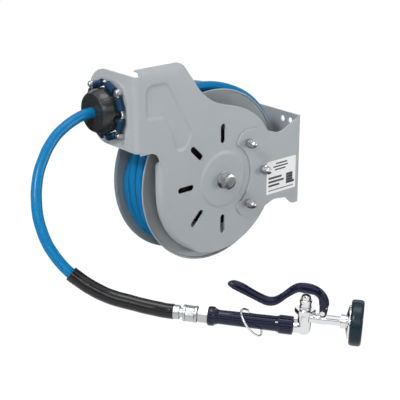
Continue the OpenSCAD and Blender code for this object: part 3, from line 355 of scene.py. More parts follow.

# %% [markdown]
# ## One finish group
# Paint, metal, rubber and plastic differ in colour and gloss, but all of them vary a
# little: a slow patchiness and a fine grain that gives a bump. Their edges get a paler,
# painted highlight that the patches break up. One node group holds all of it, with named
# sockets. Object coordinates keep the pattern on a piece that moves.

# %% One finish group
GRAIN_DEPTH = 0.4 * MM
FINISH_INPUTS = {"Base": "Color", "Shade": "Color", "Edge": "Color", "Patch scale": "Float",
                 "Grain scale": "Float", "Roughness": "Float", "Spread": "Float",
                 "Bump": "Float"}
FINISH_OUTPUTS = {"Color": "Color", "Roughness": "Float", "Normal": "Vector"}


def build_finish_group():
    """The node group that every finish of the reel places and sets."""
    group = bpy.data.node_groups.new("finish", "ShaderNodeTree")
    for in_out, sockets in (("INPUT", FINISH_INPUTS), ("OUTPUT", FINISH_OUTPUTS)):
        for name, kind in sockets.items():
            group.interface.new_socket(name, in_out=in_out, socket_type="NodeSocket" + kind)
    inlet = group.nodes.new("NodeGroupInput")
    coords = shader_node(group, "TexCoord")
    patch = shader_node(group, "TexNoise", {"Vector": (coords, "Object"), "Detail": 4,
                                            "Scale": (inlet, "Patch scale")})
    grain = shader_node(group, "TexNoise", {"Vector": (coords, "Object"), "Detail": 2,
                                            "Scale": (inlet, "Grain scale")})
    mottled = shader_node(group, "Mix", {"Factor": (patch, "Fac"), "A": (inlet, "Base"),
                                         "B": (inlet, "Shade")}, data_type="RGBA")
    # The painted edge highlight, broken up by the patches, mixed over the patchy colour
    edge_highlight = shader_node(group, "Math", {0: (edge_mask(group), "Result"), 1: (patch, "Fac")},
                       operation="MULTIPLY")
    colour = shader_node(group, "Mix", {"Factor": (edge_highlight, 0), "A": (mottled, "Result"),
                                        "B": (inlet, "Edge")}, data_type="RGBA")
    rough = shader_node(group, "Math", {0: (patch, "Fac"), 1: (inlet, "Spread"),
                                        2: (inlet, "Roughness")}, operation="MULTIPLY_ADD")
    bump = shader_node(group, "Bump", {"Height": (grain, "Fac"), "Strength": (inlet, "Bump"),
                                       "Distance": GRAIN_DEPTH})
    feed(group.nodes.new("NodeGroupOutput"), {
        "Color": (colour, "Result"), "Roughness": (rough, 0), "Normal": (bump, "Normal")})
    return group


FINISH = build_finish_group()
print(f"finish group of {len(FINISH.nodes)} nodes")

# %% [markdown]
# ## A material from the group
# The group feeds colour, roughness and normal, which change over the surface. Values that
# are the same all over, such as Metallic or a coat, are set on the Principled node itself,
# because only those survive an export to other programs.

# %% A material from the group


def finish(name, base, shade, rough, spread, patch, grain, bump, edge=None, **shader):
    """A material from the finish group; shader sets the Principled node's own sockets.

    base and shade are the two colours of the patches, rough to rough + spread is the
    roughness, patch and grain are scales in 1/m, and edge is the colour of the painted
    highlight on edges."""
    mat = bpy.data.materials.new(name)
    mat.use_nodes = True
    group = shader_node(mat.node_tree, "Group", node_tree=FINISH)
    feed(group, {"Base": (*base, 1), "Shade": (*shade, 1), "Edge": (*(edge or shade), 1),
                 "Patch scale": patch, "Grain scale": grain, "Roughness": rough,
                 "Spread": spread, "Bump": bump})
    principled = mat.node_tree.nodes["Principled BSDF"]
    feed(principled, {"Base Color": (group, "Color"), "Roughness": (group, "Roughness"),
                      "Normal": (group, "Normal")})
    feed(principled, {socket.replace("_", " "): value for socket, value in shader.items()})
    print(f"{name}: roughness {rough:.2f} to {rough + spread:.2f}")
    return mat

# %% [markdown]
# ## Painted sheet
# The frame and drum are powder coated in a light grey: no metal look, soft gloss and a
# very fine orange peel, which is the grain at 900 per metre. The far flange has the drum's
# grey made darker, which paints the shade that lies on it between the flanges. The spring
# case, which shows through the arm's slots, is a dull black, and that black also paints
# the shade inside the drum that the slots show.

# %% Powder coats
# A paler grey near the edges of the grey paint: painted highlight
GREY_EDGE_HIGHLIGHT = (0.66, 0.69, 0.71)
powder_grey = finish("powder_grey", (0.375, 0.4, 0.415), (0.4, 0.425, 0.44),
                     0.34, 0.1, 9, 900, 0.12, GREY_EDGE_HIGHLIGHT, Specular_IOR_Level=0.35)
drum_grey = finish("drum_grey", (0.33, 0.355, 0.37), (0.36, 0.385, 0.4), 0.36, 0.1, 9, 900, 0.12,
                   GREY_EDGE_HIGHLIGHT, Specular_IOR_Level=0.3)
# The drum's grey made darker and cooler: painted shade on the far flange
drum_grey_painted_shade = finish("drum_grey_painted_shade", (0.2, 0.23, 0.255), (0.23, 0.26, 0.285), 0.36, 0.1, 9, 900, 0.12,
               (0.4, 0.43, 0.45), Specular_IOR_Level=0.3)
# Dull black for the spring case; it also paints the shade inside the drum that shows through the
# arm's slots
black_coat = finish("black_coat", (0.003, 0.003, 0.004), (0.006, 0.006, 0.007), 0.6, 0.1, 20,
                    700, 0.1, Specular_IOR_Level=0.15)

# %% [markdown]
# ## Bare metals
# Fasteners and guide wire are zinc plated and softly mottled. Springs are darker, the
# swivel is brass, and the valve is polished chrome: nearly no roughness, so its look comes
# from what the room shows it. The fittings are plain steel, between the two.

# %% Metals
# A paler zinc near the edges of bare metal: painted highlight
ZINC_EDGE_HIGHLIGHT = (0.85, 0.86, 0.88)
zinc = finish("zinc", (0.5, 0.51, 0.53), (0.6, 0.61, 0.63), 0.24, 0.16, 60, 700, 0.1,
              ZINC_EDGE_HIGHLIGHT, Metallic=1)
wire_zinc = finish("wire_zinc", (0.55, 0.56, 0.58), (0.65, 0.66, 0.68), 0.2, 0.14, 80, 900, 0.08,
                   ZINC_EDGE_HIGHLIGHT, Metallic=1)
steel = finish("steel", (0.3, 0.31, 0.33), (0.4, 0.41, 0.43), 0.32, 0.2, 50, 600, 0.12, Metallic=1)
spring_steel = finish("spring_steel", (0.12, 0.14, 0.19), (0.2, 0.22, 0.26), 0.3, 0.15, 50, 500,
                      0.08, Metallic=1)
brass = finish("brass", (0.72, 0.52, 0.24), (0.8, 0.62, 0.34), 0.25, 0.15, 50, 500, 0.06,
               Metallic=1)
chrome = finish("chrome", (0.8, 0.815, 0.83), (0.86, 0.87, 0.88), 0.03, 0.04, 40, 120, 0.01,
                Metallic=1)
fitting_grey = finish("fitting_grey", (0.5, 0.52, 0.53), (0.64, 0.65, 0.66), 0.22, 0.2, 60, 500,
                      0.1, ZINC_EDGE_HIGHLIGHT, Metallic=1)

# %% [markdown]
# ## Hose, rubber and plastic
# The hose's cover is a smooth blue with a broad highlight. Sleeve and grip are black and
# navy with a thin clear coat, which gives a second, sharper highlight over a soft one. The
# label is a plain white plastic with dark rules.

# %% Rubber and plastic
seal_rubber = finish("seal_rubber", (0.015, 0.015, 0.016), (0.03, 0.03, 0.03), 0.5, 0.1, 80,
                     900, 0.1)
hose_blue = finish("hose_blue", (0.0, 0.155, 0.36), (0.0, 0.18, 0.42), 0.24, 0.1, 45, 420, 0.1,
                   Specular_IOR_Level=0.22)
sleeve_black = finish("sleeve_black", (0.003, 0.003, 0.004), (0.007, 0.007, 0.008), 0.1, 0.1, 35,
                      260, 0.07, Specular_IOR_Level=0.3, Coat_Weight=0.3, Coat_Roughness=0.06)
roller_blue = finish("roller_blue", (0.001, 0.023, 0.06), (0.001, 0.033, 0.082), 0.26, 0.12, 60,
                     700, 0.1, Specular_IOR_Level=0.25)
# The bumper, the navy plastic and the spray ring take a last, paler colour: a painted highlight on
# their edges
bumper_rubber = finish("bumper_rubber", (0.017, 0.019, 0.02), (0.025, 0.028, 0.029), 0.15, 0.12,
                       30, 500, 0.1, (0.07, 0.075, 0.08), Specular_IOR_Level=0.5)
navy = finish("navy_plastic", (0.002, 0.004, 0.022), (0.005, 0.007, 0.032), 0.1, 0.1, 30, 240,
              0.1, (0.03, 0.034, 0.07), Specular_IOR_Level=0.3, Coat_Weight=0.2,
              Coat_Roughness=0.05)
face_plastic = finish("face_plastic", (0.02, 0.024, 0.028), (0.03, 0.035, 0.04), 0.3, 0.1, 50,
                      600, 0.08)
ring_rubber = finish("ring_rubber", (0.002, 0.013, 0.022), (0.004, 0.02, 0.032), 0.2, 0.12, 30,
                     500, 0.12, (0.05, 0.08, 0.1), Specular_IOR_Level=0.3)
label_white = finish("label_white", (0.82, 0.82, 0.81), (0.86, 0.86, 0.85), 0.34, 0.1, 30,
                     700, 0.03)
label_ink = finish("label_ink", (0.03, 0.03, 0.035), (0.06, 0.06, 0.07), 0.4, 0.1, 30, 700, 0.03)

# %% [markdown]
# ## Which finish each slot gets
# The CAD record gives every node a material slot. One table links the slots to finishes.

# %% Slots to finishes
SLOT_MATERIAL = {
    "grey_frame": powder_grey, "grey_drum": drum_grey, "zinc": zinc, "steel": steel,
    "black_coat": black_coat, "spring_steel": spring_steel, "brass": brass,
    "bronze": brass, "seal_rubber": seal_rubber, "hose_blue": hose_blue,
    "sleeve_black": sleeve_black, "wire_zinc": wire_zinc, "roller_blue": roller_blue,
    "bumper_rubber": bumper_rubber, "chrome": chrome, "navy_plastic": navy,
    "face_plastic": face_plastic, "ring_rubber": ring_rubber, "fitting_grey": fitting_grey,
}
print(f"{len(SLOT_MATERIAL)} slots have a finish")

# %% [markdown]
# ## The CAD nodes
# Their meshes stay as they are. They take the finish of their slot, and the ones in the
# table below also take a weld and a narrow bevel, as their edges are the ones that show.
# Real castings, nuts and cut sheet have no perfectly sharp edge, and that narrow round
# catches the thin line of light that makes an edge look real.

# %% Dress the CAD nodes


def soften(obj, width_mm, limit):
    """A narrow round on every edge sharper than the limit in degrees."""
    bevel = obj.modifiers.new("bevel", "BEVEL")
    bevel.width = width_mm * MM
    bevel.segments = 2
    bevel.limit_method = "ANGLE"
    bevel.angle_limit = math.radians(limit)


BEVEL_MM = {
    "bumper_half_lower": 0.9, "bumper_half_upper": 0.9, "mounting_bracket": 0.5,
    "axle_washers": 0.3, "inlet_lock_nut": 0.6, "guide_clips": 0.5, "bumper_screws": 0.3,
    "grip_tube": 0.4, "valve_body": 0.3, "valve_bonnet": 0.4, "lever_pin": 0.3,
    "axle_shaft": 0.3, "bracket_bolts": 0.3,
}
BEVEL_LIMIT = 40
for part in frame["record"]["subparts"]:
    name = part["node"]
    node = frame["nodes"][name]
    # The far flange takes the darker copy of the drum's grey, which paints the shade on it
    material = drum_grey_painted_shade if name == "far_flange" else SLOT_MATERIAL[part["material_slot"]]
    node.data.materials.clear()
    node.data.materials.append(material)
    if name in BEVEL_MM:
        weld = node.modifiers.new("weld", "WELD")
        weld.merge_threshold = 0.001 * MM
        soften(node, BEVEL_MM[name], BEVEL_LIMIT)

# %% [markdown]
# ## Free hose
# The half-inch hose leaves the ball's flat face, hangs in one bow and runs in to the spray
# valve. It could be dropped by a cloth or rope simulation, but it has to keep to the place
# of its CAD solid, so its points are the CAD model's own.

# %% Free hose
HOSE_R = 8.5 * MM
BALL_FACE_Y = -394.088 * MM
VALVE_HEAD = Vector((425.1, -232.5, -117.2)) * MM
VALVE_TURN = Matrix.Rotation(math.radians(39.85), 3, "Z") @ Matrix.Rotation(
    math.radians(2.5), 3, "Y")


def valve_point(s_mm, side_mm, h_mm):
    """A point of the spray valve: s back from its head, side across it, h up."""
    return VALVE_HEAD + VALVE_TURN @ (Vector((-s_mm, side_mm, h_mm)) * MM)


# The grip's height against the valve's head, and how far behind the head the hose ends
HANDLE_H, HOSE_END_S = -16.5, 272
FREE_POINTS_MM = [
    (-2, -401, 139.4), (-2, -411, 138.4), (-1, -424, 135.5), (1, -439, 131), (3, -453, 125),
    (5, -466, 118), (8, -478, 109), (12, -489, 100), (16, -498, 90), (20, -507, 79), (24, -514, 68),
    (29, -520, 56.5), (34, -525, 45), (40, -529, 33), (45.5, -532, 20.5),
    (52, -534, 8), (58, -534, -4), (65, -534, -15), (72, -532, -27), (80, -529, -38),
    (87, -525, -48), (95, -520, -58), (103, -514, -67), (112, -506, -76),
    (122, -498.5, -84), (132, -489, -92), (142, -479, -99), (154, -467, -105),
    (167, -453, -110), (181, -439, -115), (195, -425, -119), (206, -415.4, -121.2),
]
PATH_STEPS = 4
hose_exit = Vector((GUIDE.x, BALL_FACE_Y, GUIDE.z))
free_points = [hose_exit] + [Vector(p) * MM for p in FREE_POINTS_MM]
free_points.append(valve_point(HOSE_END_S, 0, HANDLE_H))
free_path = smooth_curve(free_points, PATH_STEPS)
free_hose = make_piece("free_hose", swept(free_path, HOSE_R, 32), hose_blue, "frame",
                       ["hose_free"])

# %% [markdown]
# ## Bend sleeve
# A black rubber sleeve keeps the hose from kinking at the valve. It is a tube on the same
# path. A swell of about one percent breaks the highlight, as a drawn-on sleeve does.

# %% Bend sleeve
# The sleeve begins at this one of the hose's points, counted from its exit
SLEEVE_START = 23
SLEEVE_R, SLEEVE_BORE_R = 11.5 * MM, 8.6 * MM
# The swell, as a part of the radius, and its two waves in radians from station to station
SWELL, SHORT_WAVE, LONG_WAVE = 0.012, 0.9, 0.31
sleeve_path = free_path[PATH_STEPS * SLEEVE_START:]
bulge = [1 + SWELL * math.sin(SHORT_WAVE * i) * math.sin(LONG_WAVE * i)
         for i in range(len(sleeve_path))]
sleeve_tube = swept(sleeve_path, SLEEVE_R, 40, inner=SLEEVE_BORE_R, swell=bulge)
sleeve = make_piece("hose_bend_sleeve", sleeve_tube, sleeve_black, "frame",
                    ["hose_sleeve"])

# %% [markdown]
# ## The wound layer
# Hose on a reel isn't a screw thread. Each strand lies flat against the last one for half
# a turn, then steps over by one pitch in the other half. The centre line is worked out by
# angle, with an eased step, and a circle is swept along it.

# %% The wound layer
PITCH = 17.6 * MM
STRANDS = 4
# Where the far flange's inner face lies along the axle
FAR_X = -33 * MM
# From the axle to the middle of the hose, in the layer and in the last turn over it
LAYER_R, TOP_R = 130 * MM, 149 * MM
# Angles about the axle in degrees: 0 points to the wall and 90 up. The step to the next
# strand starts at the first, the last turn's move towards the guide at the second, and
# the first strand takes the third to rise from the layer below
STEP_START, SHIFT_START, DIVE_TURN = 5, 50, 45
LAST_TURN_START = -20
# Where the last turn leaves the strands, along the axle
LEAD_X = 8 * MM
# The last turn starts this far in from the middle of the outermost strand
LAST_TURN_SHIFT = 0.3 * MM
BALL_BACK = Vector((GUIDE.x, -337.588 * MM, GUIDE.z))
to_guide = BALL_BACK - AXLE
LEAD_ANGLE = math.degrees(math.atan2(to_guide.z, to_guide.y)
                          - math.acos(TOP_R / math.hypot(to_guide.y, to_guide.z)))
FIRST_ANGLE = STEP_START - 360 * (STRANDS - 1) - 180 - DIVE_TURN
RINGS_PER_TURN = 96


def ease(u):
    """From 0 to 1 with a level start and end, for a number or an array."""
    return u * u * (3 - 2 * u)


def drum_point(r, angle, x):
    """A point at a radius and an angle about the axle."""
    a = math.radians(angle)
    return AXLE + Vector((x, r * math.cos(a), r * math.sin(a)))


def strand_x(k):
    """Middle of strand k, counted from the far flange."""
    return FAR_X + (k + 0.5) * PITCH


def winding_x(angle):
    """Half a turn level on a strand, then half a turn over to the next."""
    turns = (angle - STEP_START) / 360 + STRANDS - 1
    k = max(min(math.floor(turns), STRANDS - 2), 0)
    return strand_x(k) + PITCH * ease(min(max(turns - k, 0) * 2, 1))


def winding_r(angle):
    """The layer's radius, with a rise from below at the very start."""
    if angle < FIRST_ANGLE + DIVE_TURN:
        rise = math.pi * (angle - FIRST_ANGLE) / DIVE_TURN
        return LAYER_R - PITCH / 2 * (1 + math.cos(rise))
    return LAYER_R


def last_turn_x(angle):
    """From the outermost strand over to the guide's side."""
    start = strand_x(STRANDS - 1) - LAST_TURN_SHIFT
    way = max(0, (angle - SHIFT_START) / (LEAD_ANGLE - SHIFT_START))
    return start + (LEAD_X - start) * ease(way)


def arc(start, end, radius_at, x_at):
    """Points from one angle to another, with radius and x as functions of the angle."""
    rings = math.ceil((end - start) * RINGS_PER_TURN / 360)
    angles = [start + (end - start) * i / rings for i in range(rings + 1)]
    return [drum_point(radius_at(a), a, x_at(a)) for a in angles]


def tail(path, length):
    """The path's first point carried straight on, away from the path."""
    return path[0] - length * (path[1] - path[0]).normalized()


winding = arc(FIRST_ANGLE, LAST_TURN_START, winding_r, winding_x)
winding = [tail(winding, 2 * HOSE_R), *winding]
make_piece("hose_on_drum", swept(winding, HOSE_R, 24), hose_blue, "drum",
           ["hose_winding"])

# %% [markdown]
# ## The last part turn
# It lies on top of the strands, leaves them as a tangent and runs straight to the guide.
# This piece stands still with the frame while the drum turns below it.

# %% The last part turn
STRAIGHT_STEPS = 12
# Where the straight ends and the turn into the ball begins, before the ball's back
STRAIGHT_ENDS, TURN_BEGINS = 8 * MM, 7 * MM
# How far inside the ball the hose has turned square to it
TURN_ENDS = 12 * MM
# The two lengths of hose stop just short of each other at the ball's flat face
END_GAP = 0.2 * MM
last_turn = arc(LAST_TURN_START, LEAD_ANGLE, lambda a: TOP_R, last_turn_x)
lead_dir = (BALL_BACK - last_turn[-1]).normalized()
straight_end = BALL_BACK - STRAIGHT_ENDS * lead_dir
lead_path = [tail(last_turn, 2 * HOSE_R), *last_turn]
lead_path += [last_turn[-1].lerp(straight_end, (i + 1) / STRAIGHT_STEPS)
              for i in range(STRAIGHT_STEPS)]
lead_path += smooth_curve([BALL_BACK - TURN_BEGINS * lead_dir, BALL_BACK,
                           BALL_BACK - Vector((0, TURN_ENDS, 0))], 3)
lead_path.append(hose_exit + Vector((0, END_GAP, 0)))
make_piece("hose_to_guide", swept(lead_path, HOSE_R, 32), hose_blue, "frame",
           ["hose_lead"])

# %% [markdown]
# ## The layer below
# Only the tops of its turns can be seen, in the gaps. A spun section with round tops is
# enough, and far lighter than four more swept turns.

# %% The layer below
UNDER_TURNS, UNDER_STEPS = 4, 16
# The core below it, the valleys between its turns, how far the turns stand out of them,
# and the room left beside the flanges
UNDER_INNER_R, UNDER_VALLEY_R, UNDER_ROUND, UNDER_ROOM = 86.2, 112.6, 8.4, 0.1


def under_row(i):
    """Radius and place of one row of the section, with a half circle for every turn."""
    across = 2 * (i / UNDER_STEPS % 1) - 1
    return (UNDER_VALLEY_R + UNDER_ROUND * math.sqrt(1 - across ** 2),
            under_x + i / UNDER_STEPS * under_w)


under_x = FAR_X / MM + UNDER_ROOM
under_w = (STRANDS * PITCH / MM - 2 * UNDER_ROOM) / UNDER_TURNS
under = [under_row(i) for i in range(UNDER_TURNS * UNDER_STEPS + 1)]
under += [(UNDER_INNER_R, under[-1][1]), (UNDER_INNER_R, under[0][1])]
make_piece("hose_under_layer", spun(under, FROM_AXLE, 128), hose_blue, "drum",
           ["hose_inner_layers"])

# %% [markdown]
# ## Side arm: measuring outlines
# The arm is one stamped sheet with a boss round the axle and a long panel in its neck. Its
# skin needs a height at every point, which depends on how far that point is from the edges
# of the pressed forms. These helpers answer that for thousands of points at once. Outlines
# are in millimetres, in the sheet's own plane.

# %% Distances from outlines


def inside(points, outline):
    """Which points lie inside a closed outline."""
    x, y = points[:, 0], points[:, 1]
    hit = np.zeros(len(points), bool)
    for (x0, y0), (x1, y1) in zip(outline, np.roll(outline, -1, axis=0)):
        if y0 != y1:
            hit ^= ((y0 > y) != (y1 > y)) & (x < (x1 - x0) * (y - y0) / (y1 - y0) + x0)
    return hit


def edge_distance(points, outline):
    """Distance of each point from the nearest edge of a closed outline."""
    best = np.full(len(points), 1e9)
    for a, b in zip(outline, np.roll(outline, -1, axis=0)):
        d = b - a
        if d @ d > 1e-12:
            t = np.clip(((points - a) @ d) / (d @ d), 0, 1)
            best = np.minimum(best, np.linalg.norm(points - a - t[:, None] * d, axis=1))
    return best


def signed(points, outline):
    """Distance from an outline, positive inside it."""
    return np.where(inside(points, outline), 1, -1) * edge_distance(points, outline)


def shoulder(distance, width):
    """0 outside, 1 inside, with an eased step of the given width across the outline."""
    return ease(np.clip(distance / width + 0.5, 0, 1))

# %% [markdown]
# ## Openings
# Round holes and round-ended slots, as a punch leaves them.

# %% Circles and slots


def circle(centre, r, n=32):
    """A round outline of n points."""
    return np.array([(centre[0] + r * math.cos(math.tau * i / n),
                      centre[1] + r * math.sin(math.tau * i / n)) for i in range(n)])


def slot_outline(angle, inner, outer, half):
    """A round-ended slot that points away from the origin."""
    pts = [(inner + half - half * math.sin(a), half * math.cos(a))
           for a in np.linspace(0, math.pi, 9)]
    pts += [(outer - half + half * math.sin(a), -half * math.cos(a))
            for a in np.linspace(0, math.pi, 9)]
    c, d = math.cos(math.radians(angle)), math.sin(math.radians(angle))
    return np.array([(x * c - y * d, x * d + y * c) for x, y in pts])

# %% [markdown]
# ## A pressed sheet
# A subdivided plane with booleans would leave ragged holes, and a displacement would need
# an even, dense grid. A Delaunay triangulation takes the outline, the holes and free
# points, dense only near the pressed shoulders. Its faces are lifted to the sheet's
# height and thickened by one extrusion.

# %% Triangulate and thicken
SHEET = 3
# Points are spaced by the fine step near a pressed shoulder and by the coarse one elsewhere
COARSE_STEP, FINE_STEP, SHOULDER_REACH = 5.5, 1.7, 5.5
# Points stay this far from an edge, so that no sliver of a triangle is made there
EDGE_ROOM = 1.2
# Points nearer than this count as one in the triangulation
SAME_POINT = 1e-6


def sheet_points(outline, holes, presses):
    """Points inside an outline and outside its holes, dense near the pressed shoulders."""
    u = np.arange(outline[:, 0].min(), outline[:, 0].max(), FINE_STEP)
    v = np.arange(outline[:, 1].min(), outline[:, 1].max(), FINE_STEP)
    grid = np.array(np.meshgrid(u, v)).T.reshape(-1, 2)
    near = np.min([np.abs(signed(grid, p)) for p in presses], axis=0) < SHOULDER_REACH
    pick = np.round(grid / COARSE_STEP) * COARSE_STEP
    coarse = np.linalg.norm(grid - pick, axis=1) < FINE_STEP / 2
    keep = inside(grid, outline) & (near | coarse) & (edge_distance(grid, outline) > EDGE_ROOM)
    for hole in holes:
        keep &= ~inside(grid, hole) & (edge_distance(grid, hole) > EDGE_ROOM)
    return grid[keep]


def pressed_sheet(outline, holes, height, presses, place):
    """Both skins and all edges of a flat sheet with pressed forms; place maps (u, v, w)."""
    points = [Vector(q) for q in sheet_points(outline, holes, presses)]
    edges = []
    for loop in [outline, *holes]:
        base = len(points)
        points += [Vector(q) for q in loop]
        edges += [(base + i, base + (i + 1) % len(loop)) for i in range(len(loop))]
    corners, _, triangles, *_ = geometry.delaunay_2d_cdt(points, edges, [], 0, SAME_POINT)
    flat, tris = np.array([tuple(q) for q in corners]), np.array(triangles)
    mid = flat[tris].mean(axis=1)
    good = inside(mid, outline)
    for hole in holes:
        good &= ~inside(mid, hole)
    tris = tris[good]
    w = height(flat)
    bm = bmesh.new()
    used = {int(i): bm.verts.new(place(*flat[i], w[i])) for i in np.unique(tris)}
    for tri in tris:
        bm.faces.new([used[int(i)] for i in tri])
    return thickened(bm, place(0, 0, -SHEET) - place(0, 0, 0))

# %% [markdown]
# ## Rolled lips
# The sheet's free edges are rolled inwards to stiffen it. A lip has a quarter bend and a
# straight flange, and shrinks to nothing where it runs out. Its section is laid at every
# station of the edge and the grid joins them.

# %% Lips
BEND_R = 8
LIP_DEPTH = 14
LIP_ROUND = 0.7
# What is left of a lip where it runs out: part of its size, bend and flange
LEAST_SCALE, LEAST_BEND_R, LEAST_FLANGE = 0.03, 0.05, 0.6


def lip_profile(scale, depth):
    """A rolled lip's section as (distance out from the bend line, drop)."""
    bend = [math.radians(15 * i) for i in range(7)]
    outer_r = BEND_R * scale
    inner_r = max(outer_r - SHEET, LEAST_BEND_R)
    centre = max(outer_r, SHEET + inner_r)
    end = max(depth * scale, centre + LEAST_FLANGE)
    outer = [(outer_r * math.sin(a), outer_r * (1 - math.cos(a))) for a in bend]
    inner = [(inner_r * math.sin(a), centre - inner_r * math.cos(a)) for a in reversed(bend)]
    round_off = min(LIP_ROUND, (outer_r - inner_r) / 3)
    return outer + [(outer_r, end - round_off), (outer_r - round_off, end),
                    (inner_r + round_off, end), (inner_r, end - round_off)] + inner


def lip(edge_stations, place):
    """A lip along stations of (edge point, outward direction, scale): its bend line and mesh."""
    table, line = [], []
    for (y, z), (out_y, out_z), scale in edge_stations:
        scale = max(scale, LEAST_SCALE)
        base = (y - out_y * BEND_R * scale, z - out_z * BEND_R * scale)
        line.append(base)
        table.append([place(base[0] + out_y * d, base[1] + out_z * d, -w)
                      for d, w in lip_profile(scale, LIP_DEPTH)])
    return line, laid_grid(table, closed_ends=True)

# %% [markdown]
# ## The arm's measures
# The arm runs from the guide's tab along the top, round a corner, down the neck, round the
# disc and back up its lipped side. All its cells share these measures.

# %% The arm's measures
ARM_X, TAB_Y = 69, -361
DISC_Y, DISC_R = -187, 127.5
EDGE_Y = DISC_Y - DISC_R
ARM_TOP, ARM_BOTTOM = 212, 76
TAB_Z0, TAB_Z1 = 80, 202.5
CORNER_R, INNER_R = 14, 20
# The top's corner and the neck's bend, from the disc's centre and from the top
CORNER_BACK, NECK_BACK, NECK_DOWN, NECK_R = 77.6, 31.7, 70.2, 105
# Where the neck meets the disc, where the lip round the disc ends and how long it fades
# before that, in degrees
NECK_ANGLE, LIP_END, FADE = 74, 250, 16
# The lip's scale after the corner, and at the top of the side
CORNER_SCALE, SIDE_SCALE = 0.65, 0.6
# Length over which the side's lip grows to its full scale
SIDE_RUN_IN = 6
# Stations of the lips and points of the disc
CORNER_STEPS, RUN_OFF_STEPS, TOP_STEPS, SIDE_STEPS, FOOT_STEPS, DISC_STEPS = 18, 6, 24, 26, 44, 92


def on_arm(u, v, w):
    """From the arm's own plane: u along Y, v up and w out of its face."""
    return Vector((ARM_X + w, u, v)) * MM


def on_tab(u, v, w):
    """From the tab's own plane: u along X, v up and w out of its face."""
    return Vector((u, TAB_Y - w, v)) * MM


def on_disc(degrees):
    """A point of the disc's edge."""
    a = math.radians(degrees)
    return DISC_Y + DISC_R * math.cos(a), DISC_R * math.sin(a)

# %% [markdown]
# ## The lips' way along the edges
# One lip runs along the top and round its corner and fades out down the neck. The other
# begins at the inner corner under the tab and fades out below the disc.

# %% The arm's two lips
neck = rounded([(TAB_Y, ARM_TOP, 0), (DISC_Y - CORNER_BACK, ARM_TOP, CORNER_R),
                (DISC_Y - NECK_BACK, ARM_TOP - NECK_DOWN, NECK_R), (*on_disc(NECK_ANGLE), 0),
                (0, 0, 0)], CORNER_STEPS)[1:-2]
corner, neck = neck[:CORNER_STEPS + 1], neck[CORNER_STEPS + 1:]
corner_centre = Vector((corner[0].x, ARM_TOP - CORNER_R))
run_off = [corner[-1].lerp(neck[0], u) for u in np.linspace(0, 1, RUN_OFF_STEPS + 2)[1:-1]]
slope = (neck[0] - corner[-1]).normalized()
top_lip = [((y, ARM_TOP), (0, 1), 1)
           for y in np.linspace(TAB_Y + BEND_R, corner[0].x, TOP_STEPS)[:-1]]
top_lip += [(tuple(q), tuple((q - corner_centre).normalized()),
             1 - (1 - CORNER_SCALE) * ease(i / CORNER_STEPS)) for i, q in enumerate(corner)]
top_lip += [(tuple(q), (-slope.y, slope.x), CORNER_SCALE * (1 - ease((i + 1) / RUN_OFF_STEPS)))
            for i, q in enumerate(run_off)]
side_top = ARM_BOTTOM - INNER_R
side_lip = [((EDGE_Y, z), (-1, 0),
             SIDE_SCALE + (1 - SIDE_SCALE) * ease(min(1, (side_top - z) / SIDE_RUN_IN)))
            for z in np.linspace(side_top, 0, SIDE_STEPS)[:-1]]
for a in np.linspace(180, LIP_END, FOOT_STEPS):
    side_lip.append((on_disc(a), (math.cos(math.radians(a)), math.sin(math.radians(a))),
                     ease(min(1, (LIP_END - a) / FADE))))
top_line, top_mesh = lip(top_lip, on_arm)
side_line, side_mesh = lip(side_lip, on_arm)
print(f"lips of {len(top_lip)} and {len(side_lip)} stations")

# %% [markdown]
# ## The arm's outline
# It is closed from the lips' bend lines, the neck, the disc, the inner corner and the
# line where the tab bends away.

# %% The arm's outline
# Points of the outline closer together than this are one
LEAST_STEP = 0.05
disc = [on_disc(a) for a in np.linspace(NECK_ANGLE, LIP_END - 360, DISC_STEPS)]
inner_corner = [(EDGE_Y - INNER_R * (1 - math.cos(a)), side_top + INNER_R * math.sin(a))
                for a in np.linspace(0, math.pi / 2, 12)]
tab_line = np.linspace(TAB_Z0, TAB_Z1, 24)
arm_outline = top_line + [tuple(q) for q in neck] + disc + side_line[::-1] + inner_corner
arm_outline += [(TAB_Y + BEND_R, z) for z in (ARM_BOTTOM, *tab_line)]
arm_outline = np.array(arm_outline, float)
step_lengths = np.linalg.norm(arm_outline - np.roll(arm_outline, 1, axis=0), axis=1)
arm_outline = arm_outline[step_lengths > LEAST_STEP]
print(f"arm's outline of {len(arm_outline)} points")

# %% [markdown]
# ## Boss, panel, slots and holes
# The boss stands out by two millimetres and the panel goes in by two. Five slots fan out
# round the axle, and the other holes take the axle, the bracket's bolts and a pin.

# %% Press and pierce the arm
AXLE_SPOT = (AXLE_Y, 0)
PRESS_DEPTH, PRESS_WIDTH = 2, 4.6
BOSS_R = 47.7
# Corners as (y, z, corner radius)
PANEL = [(-340, 133, 8), (-340, 185, 12), (-299, 185, 12), (-249, 96, 10), (-258, 70, 14),
         (-280, 71, 10), (-290, 104, 10), (-306, 130, 14)]
SLOT_ANGLES, SLOT_INNER, SLOT_OUTER, SLOT_HALF = (90, 135, 180, 225, 270), 63.5, 97.5, 5.25
AXLE_HOLE_R, BOLT_HOLE_R, PIN_HOLE_R = 8.2, 4.2, 3.05
# Where the pawl's pin sits, and the cheek's bolts in Y and Z, all from the axle
PIN_OUT, PIN_ANGLE = 66, math.radians(24)
CHEEK_BOLTS = ((54.5, 54.5), (89.6, 0), (54.5, -54.5))

boss = circle(AXLE_SPOT, BOSS_R, 96)
panel = np.array([tuple(q) for q in rounded(PANEL)])
holes = [slot_outline(a, SLOT_INNER, SLOT_OUTER, SLOT_HALF) + AXLE_SPOT for a in SLOT_ANGLES]
holes.append(circle(AXLE_SPOT, AXLE_HOLE_R))
holes += [circle((AXLE_Y + y, z), BOLT_HOLE_R, 20) for y, z in CHEEK_BOLTS]
holes.append(circle((AXLE_Y + PIN_OUT * math.cos(PIN_ANGLE), PIN_OUT * math.sin(PIN_ANGLE)),
                    PIN_HOLE_R, 20))


